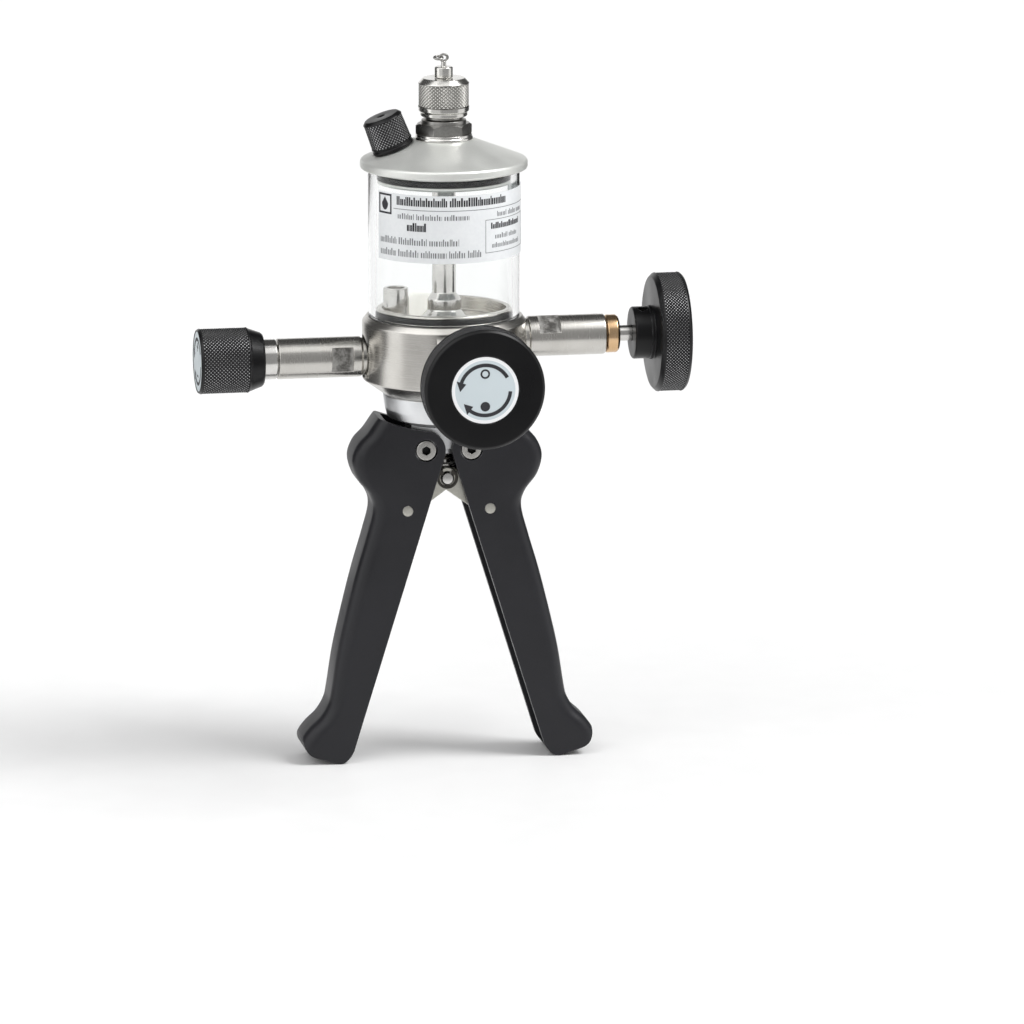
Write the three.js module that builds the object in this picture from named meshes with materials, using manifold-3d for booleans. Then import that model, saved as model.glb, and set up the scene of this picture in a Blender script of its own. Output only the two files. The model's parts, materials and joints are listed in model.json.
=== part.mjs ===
// A hand-held hydraulic test pump. Squeezing two long handles drives a plunger upwards through a pair
// of links. A clear oil reservoir stands on a steel manifold block, which carries a shut-off valve on
// the right, a vent valve at the front and a fine-adjust screw on the left. The outlet is on the lid.
//
// Millimetres, +Z up along the pump's own axis, handles left and right along X, vent valve towards -Y.
// While it is being built, heights count from the fine adjuster's axis. The finished group is moved so
// that its origin is the middle of its footprint, level with the lowest point of the handle feet.

import * as THREE from 'three';
import { mergeVertices } from 'three/addons/utils/BufferGeometryUtils.js';
import Module from 'manifold-3d';

const wasm = await Module();
wasm.setup();

// ---------------------------------------------------------------------------------------------------
// Driving dimensions
// ---------------------------------------------------------------------------------------------------

const FINE = 32; // facets round the large turned parts
const MEDIUM = 20; // facets round the valves and knobs
const COARSE = 12; // facets round pins, balls and hidden parts

const CLEAR = 0.15; // radial clearance of a running or screwed fit
const SEAT = 0.05; // gap left between faces that rest on each other

const tube = { radius: 31.75, bore: 28.55, bottom: 16.9, top: 79.2 };
const block = { radius: 34.4, top: 16.8, bottom: -15.8, spigot: 21, floor: 15.5, dish: 25.9 };
const lid = { radius: 35.1, bottom: 79.3, shoulder: 82.2, crown: 91.5, crownRadius: 12.4, spigot: 73.4 };
const housing = {
  radius: 25.8, waist: -22.4, bottom: -26, coneRadius: 16.5, coneBottom: -28.8, halfDepth: 9.2,
};

const RIGHT_VALVE_HEIGHT = 6.2; // the shut-off valve, above the fine adjuster
const FRONT_VALVE_HEIGHT = 4; // the vent valve
const ARM_RADIUS = 8.5; // valve bodies and fine-adjust barrel
const PORT_RADIUS = 7; // their threaded noses
const PORT_DEPTH = 24; // distance from the pump's axis to the bottom of each port

const handle = {
  halfDepth: 12.5, wall: 3, rest: 17.2, // rest is the tilt from upright, in degrees
  pivotX: 9.63, pivotZ: -39, inner: -8.2, top: 8.2, bottom: -138.8,
};
const LINK_ARM = 26.8; // from a handle's pivot down to its link pin
const LINK_LENGTH = 21.7;
const SCREW_HEAD = 4.35;
const LINK_PIN = 2.25;
const CROSS_PIN = 2.32;
const LINK_SLOP = 0.5; // extra hole radius at the links' shared pin

const restTilt = THREE.MathUtils.degToRad(handle.rest);
const linkPin = {
  x: handle.pivotX + LINK_ARM * Math.sin(restTilt),
  z: handle.pivotZ - LINK_ARM * Math.cos(restTilt),
};
const crosshead = linkPin.z + Math.sqrt(LINK_LENGTH ** 2 - linkPin.x ** 2); // height of the shared pin

const PLUNGER_RADIUS = 3.175;
const PLUNGER_TOP = -12;
const spring = { radius: 4.85, wire: 0.65, coils: 8, top: -28, seat: 5.6 };

// ---------------------------------------------------------------------------------------------------
// Geometry helpers
// ---------------------------------------------------------------------------------------------------

// A closed geometry as a manifold-3d solid, for joining and cutting.
function toSolid(geometry) {
  const flat = geometry.index ? geometry.toNonIndexed() : geometry;
  const bare = new THREE.BufferGeometry().setAttribute('position', flat.getAttribute('position'));
  const merged = mergeVertices(bare, 1e-4);
  const index = merged.index.array;
  const build = (flip) => {
    const triVerts = [];
    for (let i = 0; i < index.length; i += 3) {
      const corners = [index[i], index[i + 1], index[i + 2]];
      if (new Set(corners).size === 3) triVerts.push(...(flip ? corners.reverse() : corners));
    }
    return new wasm.Manifold(new wasm.Mesh({
      numProp: 3,
      vertProperties: merged.attributes.position.array,
      triVerts: new Uint32Array(triVerts),
    }));
  };
  const solid = build(false);
  return solid.volume() < 0 ? build(true) : solid;
}

function toGeometry(solid) {
  const { numProp, vertProperties, triVerts } = solid.getMesh();
  const count = vertProperties.length / numProp;
  const position = new Float32Array(count * 3);
  for (let i = 0; i < count; i++) {
    position.set(vertProperties.subarray(i * numProp, i * numProp + 3), i * 3);
  }
  const geometry = new THREE.BufferGeometry();
  geometry.setAttribute('position', new THREE.BufferAttribute(position, 3));
  geometry.setIndex(new THREE.BufferAttribute(triVerts, 1));
  return geometry;
}

const combine = (operation) => (base, ...others) =>
  toGeometry(others.reduce((solid, other) => solid[operation](toSolid(other)), toSolid(base)));
const join = combine('add');
const cut = combine('subtract');
const overlap = combine('intersect');

// A solid of revolution about Z from [radius, height] pairs that start and end on the axis.
function turned(profile, facets = MEDIUM) {
  const points = profile.map(([radius, height]) => new THREE.Vector2(radius, height));
  return new THREE.LatheGeometry(points, facets).rotateX(Math.PI / 2);
}

// The same for a ring: its profile never touches the axis and is closed here.
const ring = (profile, facets) => turned([...profile, profile[0]], facets);

// A plain cylinder about Z between two heights.
const rod = (radius, from, to, facets = COARSE) =>
  turned([[0, from], [radius, from], [radius, to], [0, to]], facets);

// A plain tube about Z between two heights.
const sleeve = (outer, inner, from, to, facets = MEDIUM) =>
  ring([[inner, from], [outer, from], [outer, to], [inner, to]], facets);

const box = (x, y, z) => new THREE.BoxGeometry(x, y, z);

// Turns geometry made about Z so that it points forwards, which is -Y.
const forwards = (geometry) => geometry.rotateX(Math.PI / 2);

// Turns geometry made about Z so that it points along X.
const sideways = (geometry, sign = 1) => geometry.rotateY(sign * Math.PI / 2);

// A flat shape drawn in X and Z, made solid from y = -front to y = -back.
function plate(shape, front, back, curveSegments = 6) {
  const geometry = new THREE.ExtrudeGeometry(shape, {
    depth: front - back, bevelEnabled: false, curveSegments,
  });
  return forwards(geometry.translate(0, 0, back));
}

function disc(x, z, radius) {
  const shape = new THREE.Shape();
  shape.absarc(x, z, radius, 0, 2 * Math.PI);
  return shape;
}

// A rounded bar between two points, with a hole round each.
function linkShape(from, to, halfWidth, fromHole, toHole) {
  const along = Math.atan2(to.z - from.z, to.x - from.x);
  const shape = new THREE.Shape();
  shape.absarc(from.x, from.z, halfWidth, along + Math.PI / 2, along + 1.5 * Math.PI);
  shape.absarc(to.x, to.z, halfWidth, along - Math.PI / 2, along + Math.PI / 2);
  shape.closePath();
  shape.holes.push(disc(from.x, from.z, fromHole), disc(to.x, to.z, toHole));
  return shape;
}

function coil(radius, wire, turns, height, stepsPerTurn = 9) {
  class Helix extends THREE.Curve {
    getPoint(t, target = new THREE.Vector3()) {
      const angle = t * turns * 2 * Math.PI;
      return target.set(radius * Math.cos(angle), radius * Math.sin(angle), t * height);
    }
  }
  const wireShape = new THREE.Shape();
  wireShape.absarc(0, 0, wire, 0, 2 * Math.PI);
  return new THREE.ExtrudeGeometry(wireShape, {
    steps: turns * stepsPerTurn, curveSegments: 3, extrudePath: new Helix(),
  });
}

// ---------------------------------------------------------------------------------------------------
// Materials and meshes
// ---------------------------------------------------------------------------------------------------

const finishes = {
  steel: { color: 0xb9b7b0, roughness: 0.32, metalness: 1 },
  bright: { color: 0xd6d5d2, roughness: 0.18, metalness: 1 },
  aluminium: { color: 0xc9cac6, roughness: 0.45, metalness: 1 },
  paleAluminium: { color: 0xd4d5d6, roughness: 0.5, metalness: 0.9 },
  brass: { color: 0xc79a5b, roughness: 0.3, metalness: 1 },
  bronze: { color: 0xa9763f, roughness: 0.4, metalness: 1 },
  springSteel: { color: 0x24221f, roughness: 0.35, metalness: 0.8 },
  grip: { color: 0x2b2b2e, roughness: 0.45, metalness: 0.1 },
  knob: { color: 0x1c1d20, roughness: 0.4, metalness: 0.2 },
  rubber: { color: 0x151515, roughness: 0.7, metalness: 0 },
  ptfe: { color: 0xf1f0ea, roughness: 0.6, metalness: 0 },
  label: { color: 0xe9edf0, roughness: 0.5, metalness: 0 },
  acrylic: { color: 0xf4f8fa, roughness: 0.05, metalness: 0, transparent: true, opacity: 0.25 },
};

function part(name, geometry, finish) {
  const material = new THREE.MeshStandardMaterial(finishes[finish]);
  const mesh = new THREE.Mesh(toGeometry(toSolid(geometry)), material);
  mesh.name = name;
  return mesh;
}

function assembly(...members) {
  const group = new THREE.Group();
  group.add(...members);
  return group;
}

// ---------------------------------------------------------------------------------------------------
// Manifold block, lower housing and what is inside them
// ---------------------------------------------------------------------------------------------------

const intake = { x: -8, y: 14, radius: 2.4 }; // drilling from the dish down to the inlet check valve
const returnPipe = { x: -20.3, y: 0, radius: 5.2, top: 29.3 };
const oring = { halfWidth: 1.3, groove: 26.9, lower: 18.4, upper: 76.4 }; // groove is its floor's radius

function manifoldBlock() {
  const body = turned([
    [0, block.bottom], [26, block.bottom], [block.radius, block.bottom + 6],
    [block.radius, block.top - 2.4], [32.6, block.top], [28.4, block.top],
    [28.4, oring.lower - oring.halfWidth], [oring.groove, oring.lower - oring.halfWidth],
    [oring.groove, oring.lower + oring.halfWidth], [28.4, oring.lower + oring.halfWidth],
    [28.4, block.spigot - 0.5], [27.9, block.spigot], [block.dish, block.spigot],
    [block.dish - 0.4, block.floor], [0, block.floor],
  ], FINE);
  const port = () => join(
    rod(PORT_RADIUS + CLEAR, PORT_DEPTH, block.radius + 2, MEDIUM),
    rod(ARM_RADIUS + 0.6, block.radius - 1, block.radius + 2, MEDIUM),
    rod(1.4, 1, PORT_DEPTH + 1, 10),
  );
  const checkChamber = turned([
    [0, block.bottom - 1], [PLUNGER_RADIUS + CLEAR, block.bottom - 1], [PLUNGER_RADIUS + CLEAR, -5.5],
    [1.2, -5.5], [1.2, -3.6], [2.9, -1.9], [2.9, 7.5], [4.2, 7.5],
    [4.2, block.floor + 1], [0, block.floor + 1],
  ], COARSE);
  const inlet = turned([
    [0, -12], [1, -12], [1, -8.5], [intake.radius, -7],
    [intake.radius, block.floor + 1], [0, block.floor + 1],
  ], COARSE).translate(intake.x, intake.y, 0);
  const crossDrilling = sideways(rod(1, 0, Math.hypot(intake.x, intake.y), 10))
    .rotateZ(Math.atan2(intake.y, intake.x)).translate(0, 0, -11);
  const returnHole = rod(2.6, 2, block.floor + 1).translate(returnPipe.x, returnPipe.y, 0);
  return cut(
    body, checkChamber, inlet, crossDrilling, returnHole,
    sideways(port(), -1),
    sideways(port()).translate(0, 0, RIGHT_VALVE_HEIGHT),
    forwards(port()).translate(0, 0, FRONT_VALVE_HEIGHT),
  );
}

function lowerHousing() {
  const collar = turned([
    [0, block.bottom - SEAT], [housing.radius - 0.5, block.bottom - SEAT],
    [housing.radius, block.bottom - 0.6], [housing.radius - 0.8, housing.waist],
    [housing.radius - 1.8, housing.bottom],
    [housing.coneRadius, housing.coneBottom], [0, housing.coneBottom],
  ], FINE);
  const earRadius = 5.8;
  const tongueHalfWidth = handle.pivotX + earRadius;
  const tongueHeight = housing.coneBottom - handle.pivotZ + 1;
  const tongue = box(2 * tongueHalfWidth, 2 * housing.halfDepth, tongueHeight)
    .translate(0, 0, handle.pivotZ + tongueHeight / 2);
  const across = (radius, x, facets = COARSE) =>
    forwards(rod(radius, -30, 30, facets)).translate(x, 0, handle.pivotZ);
  const ear = (x) => plate(disc(x, handle.pivotZ, earRadius), housing.halfDepth, -housing.halfDepth, 14);
  const boss = rod(6.9, -41.5, housing.coneBottom + 1, MEDIUM);
  const bore = turned([
    [0, -60], [spring.radius + spring.wire + 0.4, -60],
    [spring.radius + spring.wire + 0.4, spring.top + 0.2], [5.2, spring.top + 0.2], [5.2, -20.2],
    [PLUNGER_RADIUS + CLEAR, -20.2], [PLUNGER_RADIUS + CLEAR, 0], [0, 0],
  ], COARSE);
  const flanks = [1, -1].map((side) =>
    box(60, 20, 30).translate(0, side * (10 + housing.halfDepth), housing.coneBottom - 15));
  const solid = join(collar, tongue, ear(handle.pivotX), ear(-handle.pivotX), boss);
  return cut(solid, bore, across(2.65, handle.pivotX), across(2.65, -handle.pivotX), ...flanks);
}

function pumpInternals() {
  const strainer = turned([
    [0, 8], [2.2, 8], [2.2, block.floor + SEAT], [4.5, block.floor + SEAT],
    [4.5, 24], [3.9, 24.7], [0, 24.7],
  ], COARSE).translate(intake.x, intake.y, 0);
  const pipe = ring([
    [1.4, 6], [2.4, 6], [2.4, block.floor + SEAT], [returnPipe.radius, block.floor + SEAT],
    [returnPipe.radius, returnPipe.top], [3.6, returnPipe.top],
    [3.6, block.floor + 3], [1.4, block.floor + 3],
  ]).translate(returnPipe.x, returnPipe.y, 0);
  const ball = (radius) => new THREE.SphereGeometry(radius, 10, 8);
  return [
    part('plunger_bush', sleeve(5.05, PLUNGER_RADIUS + CLEAR, -27.6, -23.1, COARSE), 'bronze'),
    part('plunger_seal', sleeve(5.05, PLUNGER_RADIUS + CLEAR, -23, -20.3, COARSE), 'rubber'),
    part('intake_strainer', strainer, 'ptfe'),
    part('return_pipe', pipe, 'steel'),
    part('inlet_check_ball', ball(2).translate(intake.x, intake.y, -5.4), 'bright'),
    part('outlet_check_ball', ball(2.2).translate(0, 0, -0.6), 'bright'),
    part('outlet_check_spring', coil(2.1, 0.35, 3, 4.4, 8).translate(0, 0, 2), 'springSteel'),
  ];
}

// ---------------------------------------------------------------------------------------------------
// Reservoir and lid
// ---------------------------------------------------------------------------------------------------

// The filler cap's frame: its axis is square to the lid's cone.
const coneSlope = Math.atan2(lid.crown - lid.shoulder - 0.8, lid.radius - 0.6 - lid.crownRadius);
const filler = { x: -21.2, z: 87.9, flat: 9.2, neck: 5.4 };

function onFiller(...members) {
  const group = assembly(...members);
  group.position.set(filler.x, 0, filler.z);
  group.rotation.y = -coneSlope;
  return group;
}

function deliveryTube() {
  const outside = turned([
    [0, 7.7], [3.6, 7.7], [3.9, 8.1], [3.9, block.floor + SEAT], [10, block.floor + SEAT], [10, 16.4],
    [7, 19.8], [7, 24.2], [5, 26.8], [5, lid.crown - 4], [0, lid.crown - 4],
  ], 16);
  return cut(outside, rod(1.5, 7, lid.crown, 12));
}

function reservoirLid() {
  const outside = turned([
    [0, lid.spigot], [28.2, lid.spigot], [28.2, oring.upper - oring.halfWidth],
    [oring.groove, oring.upper - oring.halfWidth], [oring.groove, oring.upper + oring.halfWidth],
    [28.2, oring.upper + oring.halfWidth], [28.2, lid.bottom], [lid.radius - 0.5, lid.bottom],
    [lid.radius, lid.bottom + 0.6], [lid.radius, lid.shoulder], [lid.radius - 0.6, lid.shoulder + 0.8],
    [lid.crownRadius, lid.crown], [0, lid.crown],
  ], FINE);
  const hollow = turned([
    [0, lid.spigot - 1], [25, lid.spigot - 1], [25, 78.6], [9, 84.5], [0, 84.5],
  ], MEDIUM);
  const outlet = turned([
    [0, 80], [5.2, 80], [5.2, 88], [6.2, 88], [6.2, lid.crown + 1], [0, lid.crown + 1],
  ], 24);
  const fillerHole = join(rod(filler.neck, -14, 4, 24), rod(filler.flat, -0.2, 8, MEDIUM))
    .rotateY(-coneSlope).translate(filler.x, 0, filler.z);
  return cut(outside, hollow, outlet, fillerHole);
}

function reservoirLabel() {
  const from = THREE.MathUtils.degToRad(-90 - 67);
  const to = THREE.MathUtils.degToRad(-90 + 100);
  const inner = tube.radius + 0.15;
  const film = new THREE.Shape();
  film.absarc(0, 0, inner + 0.3, from, to);
  film.absarc(0, 0, inner, to, from, true);
  film.closePath();
  return new THREE.ExtrudeGeometry(film, { depth: 28.5, bevelEnabled: false, curveSegments: 12 })
    .translate(0, 0, 44);
}

function reservoir() {
  const seal = (z) => ring([
    [oring.groove + SEAT, z - 1.2], [28.2, z - 1.2], [28.5, z - 0.8],
    [28.5, z + 0.8], [28.2, z + 1.2], [oring.groove + SEAT, z + 1.2],
  ], FINE);
  const clearTube = sleeve(tube.radius, tube.bore, tube.bottom, tube.top, FINE);
  return [
    part('reservoir_tube', clearTube, 'acrylic'),
    part('reservoir_label', reservoirLabel(), 'label'),
    part('lower_reservoir_seal', seal(oring.lower), 'rubber'),
    part('upper_reservoir_seal', seal(oring.upper), 'rubber'),
    part('delivery_tube', deliveryTube(), 'bright'),
    part('reservoir_lid', reservoirLid(), 'aluminium'),
  ];
}

function fillerCap() {
  const cap = turned([
    [0, -11], [filler.neck - 0.5, -11], [filler.neck - 0.3, -10.4], [filler.neck - 0.3, 0.2], [8.65, 0.2],
    [8.9, 0.5], [8.9, 2.6], [8.5, 13.5], [7.3, 14.7], [1.6, 14.7], [1.3, 13.2], [0, 13.2],
  ], MEDIUM);
  const seal = sleeve(6.9, filler.neck + 0.05, -0.1, 0.9, 24);
  return onFiller(
    part('filler_cap', cut(cap, sleeve(7.1, filler.neck - 0.35, -1, 1.1, 24)), 'knob'),
    part('filler_cap_seal', seal, 'rubber'),
  );
}

// ---------------------------------------------------------------------------------------------------
// Outlet fitting with its dust cap
// ---------------------------------------------------------------------------------------------------

function outletFitting() {
  const hexRadius = 20.6 / Math.sqrt(3);
  const hexBottom = 93.8;
  const hexTop = 98.2;
  const hexagon = new THREE.CylinderGeometry(hexRadius, hexRadius, hexTop - hexBottom, 6)
    .rotateX(Math.PI / 2).rotateZ(Math.PI / 6).translate(0, 0, (hexTop + hexBottom) / 2);
  const chamfer = turned([
    [0, hexBottom - 1], [hexRadius + 1, hexBottom - 1], [hexRadius + 1, hexTop - 1.5],
    [hexRadius - 0.9, hexTop + 0.1], [0, hexTop + 0.1],
  ]);
  const spigot = turned([
    [0, 88.2], [5.9, 88.2], [5.9, hexBottom + 1], [9.4, hexTop - 1], [9.4, 99.6], [7.9, 100.2],
    [7.9, 111.4], [7.3, 112], [0, 112],
  ], 24);
  const washer = ring([
    [6.1, lid.crown + SEAT], [12.2, lid.crown + SEAT], [12.2, 92.4], [11.8, 92.8],
    [11.8, hexBottom - SEAT], [6.1, hexBottom - SEAT],
  ]);
  return [
    part('outlet_washer', washer, 'bright'),
    part('outlet_fitting', cut(join(overlap(hexagon, chamfer), spigot), rod(2, 85, 115, 12)), 'steel'),
  ];
}

function dustCap() {
  const knurled = turned([
    [0, 101.2], [9.6, 101.2], [9.9, 101.5], [9.9, 102.8], [10.65, 103.4], [10.65, 115.6],
    [8.8, 117.2], [0, 117.2],
  ]);
  const inside = turned([
    [0, 100], [8.1, 100], [8.1, 112.9], [4.9, 112.9], [4.9, 114.6], [2.7, 114.6], [2.7, 118], [0, 118],
  ], 24);
  const post = turned([
    [0, 112.9], [4.7, 112.9], [4.7, 114.3], [2.5, 114.3], [2.5, 117.4], [3.8, 117.4], [3.8, 121.6],
    [3.4, 121.9], [0, 121.9],
  ], 20);
  const chainLink = (x, lean) =>
    new THREE.TorusGeometry(1.4, 0.5, 5, 10).scale(1.2, 1, 1).rotateX(lean).translate(x, 0, 125.6);
  const eye = join(rod(1, 121.9 + SEAT, 124, 10), chainLink(0, Math.PI / 2));
  return [
    part('dust_cap', cut(knurled, inside), 'bright'),
    part('dust_cap_post', post, 'bright'),
    part('chain_eye', eye, 'bright'),
    part('chain_link', chainLink(-2.2, 0.35), 'bright'),
  ];
}

// ---------------------------------------------------------------------------------------------------
// Valves and fine adjuster, each drawn about its own Z with Z = distance from the pump's axis
// ---------------------------------------------------------------------------------------------------

// Two opposite wrench flats across a barrel. Turn is their direction about the barrel's axis.
function wrenchFlats(turn) {
  const acrossFlats = 6.76;
  return [0, Math.PI].map((side) =>
    box(10, 20, 9.1).translate(5 + acrossFlats, 0, 44.1).rotateZ(turn + side));
}

function valve(prefix, flatsTurn, screwTurn) {
  const bodyEnd = 68.3;
  const body = cut(
    turned([
      [0, PORT_DEPTH + 0.1], [PORT_RADIUS, PORT_DEPTH + 0.1], [PORT_RADIUS, 33.6], [7.6, 33.6], [7.6, 35.4],
      [8.1, 35.4], [ARM_RADIUS, 35.9], [ARM_RADIUS, bodyEnd - 0.6], [7.9, bodyEnd], [0, bodyEnd],
    ]),
    turned([[0, 20], [3.6, 20], [3.6, 57.9], [5.6, 57.9], [5.6, 70], [0, 70]], 20),
    ...wrenchFlats(flatsTurn),
  );
  const glandNut = ring([
    [3.5, 62.2], [5.4, 62.2], [5.4, 68.7], [7.6, 68.7], [8, 69.1], [8, 73], [7.2, 74], [3.5, 74],
  ], 24);
  const needle = turned([[0, 24.6], [1.1, 24.8], [2.9, 30], [2.9, 39.8], [0, 39.8]], COARSE);
  const knobRadius = 25.1;
  const knob = cut(
    turned([
      [0, 80], [10.5, 80], [11, 80.5], [11, 87], [11.4, 87.1], [11.4, 88.6], [knobRadius - 1.6, 88.6],
      [knobRadius, 90.2], [knobRadius, 100.6], [knobRadius - 1.2, 101.8], [0, 101.8],
    ], FINE),
    rod(3.45, 79, 94.2, 20),
    sideways(rod(2.1, 3, 12, 12)).rotateZ(screwTurn).translate(0, 0, 84.2),
    rod(14.2, 101.4, 103, FINE),
  );
  const screw = cut(sideways(rod(1.95, 3.6, 10, 12)), sideways(rod(1, 8, 11, 6)))
    .rotateZ(screwTurn).translate(0, 0, 84.2);
  return [
    part(`${prefix}_valve_body`, body, 'steel'),
    part(`${prefix}_gland_nut`, glandNut, 'brass'),
    part(`${prefix}_valve_packing`, sleeve(5.4, 3.5, 58, 62, 20), 'ptfe'),
    part(`${prefix}_valve_needle`, needle, 'bright'),
    part(`${prefix}_valve_stem`, rod(3.3, 39.9, 94, 20), 'bright'),
    part(`${prefix}_valve_knob`, knob, 'knob'),
    part(`${prefix}_knob_screw`, screw, 'springSteel'),
  ];
}

function fineAdjuster(flatsTurn) {
  const barrelEnd = 71;
  const barrel = cut(
    turned([
      [0, PORT_DEPTH + 0.1], [PORT_RADIUS, PORT_DEPTH + 0.1], [PORT_RADIUS, 33.6], [7.9, 33.6], [7.9, 35.4],
      [ARM_RADIUS, 36], [ARM_RADIUS, barrelEnd - 0.3], [8.2, barrelEnd], [0, barrelEnd],
    ]),
    turned([[0, 20], [1.6, 20], [1.6, 30], [5, 30], [5, 67], [6.2, 67], [6.2, 75], [0, 75]], 20),
    ...wrenchFlats(flatsTurn),
  );
  const guide = ring([
    [3.25, 67.1], [6, 67.1], [6, 71.6], [8.2, 71.6], [8.45, 71.9], [8.45, 87.6], [8, 88], [3.25, 88],
  ]);
  const piston = ring([
    [2.2, 40], [4.8, 40], [4.8, 43], [3.7, 43], [3.7, 46], [4.8, 46], [4.8, 61.5], [2.2, 61.5],
  ], 20);
  const thimble = cut(
    turned([
      [0, 77.1], [10.7, 77.1], [11.4, 77.9], [13.2, 82.9], [13.75, 83.5], [13.75, 103.9],
      [13.2, 104.6], [0, 104.6],
    ], FINE),
    turned([[0, 70], [8.8, 70], [8.8, 98], [0, 98]], MEDIUM),
    rod(3.1, 97, 101.1, 16),
    rod(12.75, 104.2, 105, FINE),
  );
  return [
    part('fine_adjust_barrel', barrel, 'steel'),
    part('fine_adjust_guide', guide, 'steel'),
    part('fine_adjust_piston', join(piston, rod(2.3, 40.1, 61.4)), 'bright'),
    part('fine_piston_seal', new THREE.TorusGeometry(4.3, 0.5, 6, 20).translate(0, 0, 44.5), 'rubber'),
    part('fine_adjust_spindle', rod(3, 61.6, 101, COARSE), 'steel'),
    part('fine_adjust_thimble', thimble, 'knob'),
  ];
}

// ---------------------------------------------------------------------------------------------------
// Handles, drawn upright about their own pivot: X outwards, Z up
// ---------------------------------------------------------------------------------------------------

// The grip's outer edge, from above the shoulder down past the toe: it swells at the shoulder, narrows
// at the waist and kicks out at the toe.
const outerEdge = new THREE.SplineCurve([
  [13, 20], [21.5, 9.8], [25.2, 0], [28, -6], [28.2, -13], [24, -19.8], [17, -25], [13.4, -31],
  [12.7, -43], [12.5, -58], [11.6, -76], [10.2, -94], [7.9, -110], [7.5, -116], [9, -122],
  [12.3, -128], [14, -134], [14, -144],
].map(([x, z]) => new THREE.Vector2(x, z))).getSpacedPoints(22);

// A bar under the outer edge, open towards the pump, its two outer corners rounded by radius. Inset
// brings that edge in, and the bar stops at the height `to`.
function edgeBar({ inset = 0, halfDepth, radius, inner, to = -Infinity }) {
  const steps = 3;
  const stations = outerEdge.filter(({ y }) => y > to);
  const positions = [];
  const size = 2 * (steps + 1) + 2;
  for (const { x, y: z } of stations) {
    const corner = x - inset - radius;
    const side = halfDepth - radius;
    positions.push(inner, -halfDepth, z);
    for (const turn of [-1, 1]) {
      for (let i = 0; i <= steps; i++) {
        const angle = (turn < 0 ? steps - i : i) * Math.PI / 2 / steps;
        positions.push(corner + radius * Math.cos(angle), turn * (side + radius * Math.sin(angle)), z);
      }
    }
    positions.push(inner, halfDepth, z);
  }
  const index = [];
  const last = (stations.length - 1) * size;
  for (let i = 0; i < size; i++) {
    const next = (i + 1) % size;
    for (let base = 0; base < last; base += size) {
      index.push(base + i, base + size + i, base + next, base + next, base + size + i, base + size + next);
    }
    if (i > 0 && i < size - 1) index.push(0, i, i + 1, last, last + i + 1, last + i);
  }
  const geometry = new THREE.BufferGeometry();
  geometry.setAttribute('position', new THREE.Float32BufferAttribute(positions, 3));
  geometry.setIndex(index);
  return geometry;
}

// The grip seen from the front, generous along its outer edge, which the bar above decides.
function gripOutline() {
  const { inner, top, bottom } = handle;
  const shape = new THREE.Shape();
  shape.moveTo(inner, 0);
  shape.absarc(0, 0, top, Math.PI, Math.PI / 2, true);
  shape.quadraticCurveTo(15, 6.4, 21, 7.4);
  shape.lineTo(40, 7.4);
  shape.lineTo(40, -60);
  shape.lineTo(15, -124);
  shape.quadraticCurveTo(14.6, bottom + 6, 12, bottom + 2.6);
  shape.quadraticCurveTo(10, bottom, 6, bottom);
  shape.lineTo(inner + 5, bottom);
  shape.quadraticCurveTo(inner + 1, bottom + 0.6, inner, bottom + 7);
  shape.closePath();
  return shape;
}

function grip() {
  const { halfDepth, wall, inner } = handle;
  const outside = overlap(
    edgeBar({ halfDepth, radius: 6, inner: inner - 1 }),
    plate(gripOutline(), halfDepth + 1, -halfDepth - 1, 5),
  );
  const pocket = edgeBar({
    inset: wall, halfDepth: halfDepth - wall, radius: 3, inner: inner - 2, to: handle.bottom + wall,
  });
  const across = (radius, z, facets) => forwards(rod(radius, -20, 20, facets)).translate(0, 0, z);
  return cut(outside, pocket, across(SCREW_HEAD + 0.4, 0, 24), across(LINK_PIN + SEAT, -LINK_ARM, COARSE));
}

// One side of the pump, drawn for the right-hand side.
function handleSide(side, mirror, linkFront) {
  const pin = forwards(rod(LINK_PIN, -handle.halfDepth, handle.halfDepth)).translate(0, 0, -LINK_ARM);
  const swung = assembly(
    part(`${side}_handle_grip`, grip(), 'grip'),
    part(`${side}_link_pin`, pin, 'bright'),
  );
  swung.position.set(handle.pivotX, 0, handle.pivotZ);
  swung.rotation.y = -restTilt;

  const headFront = handle.halfDepth - 0.1;
  const shoulder = housing.halfDepth + SEAT;
  const socket = new THREE.CylinderGeometry(1.75, 1.75, 4, 6)
    .rotateX(Math.PI / 2).translate(0, 0, headFront);
  const screw = turned([
    [0, -headFront + 0.4], [2.5, -headFront + 0.4], [2.5, shoulder], [SCREW_HEAD, shoulder],
    [SCREW_HEAD, headFront - 0.4], [SCREW_HEAD - 0.4, headFront], [0, headFront],
  ], 24);
  const nut = ring([
    [2.6, -headFront], [SCREW_HEAD - 0.4, -headFront], [SCREW_HEAD, -headFront + 0.4],
    [SCREW_HEAD, -shoulder], [2.6, -shoulder],
  ], 24);

  const shape = linkShape({ x: linkPin.x, z: linkPin.z }, { x: 0, z: crosshead }, 4.4,
    LINK_PIN + CLEAR, CROSS_PIN + LINK_SLOP);
  const linkThickness = 2.2;
  const links = { front: linkFront, rear: linkThickness - linkFront };
  const onPivot = (geometry) => forwards(geometry).translate(handle.pivotX, 0, handle.pivotZ);
  const group = assembly(
    swung,
    part(`${side}_pivot_screw`, onPivot(cut(screw, socket)), 'steel'),
    part(`${side}_pivot_nut`, onPivot(nut), 'steel'),
    ...Object.entries(links).map(([end, front]) =>
      part(`${side}_link_${end}`, plate(shape, front, front - linkThickness), 'steel')),
  );
  group.scale.x = mirror;
  return group;
}

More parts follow.
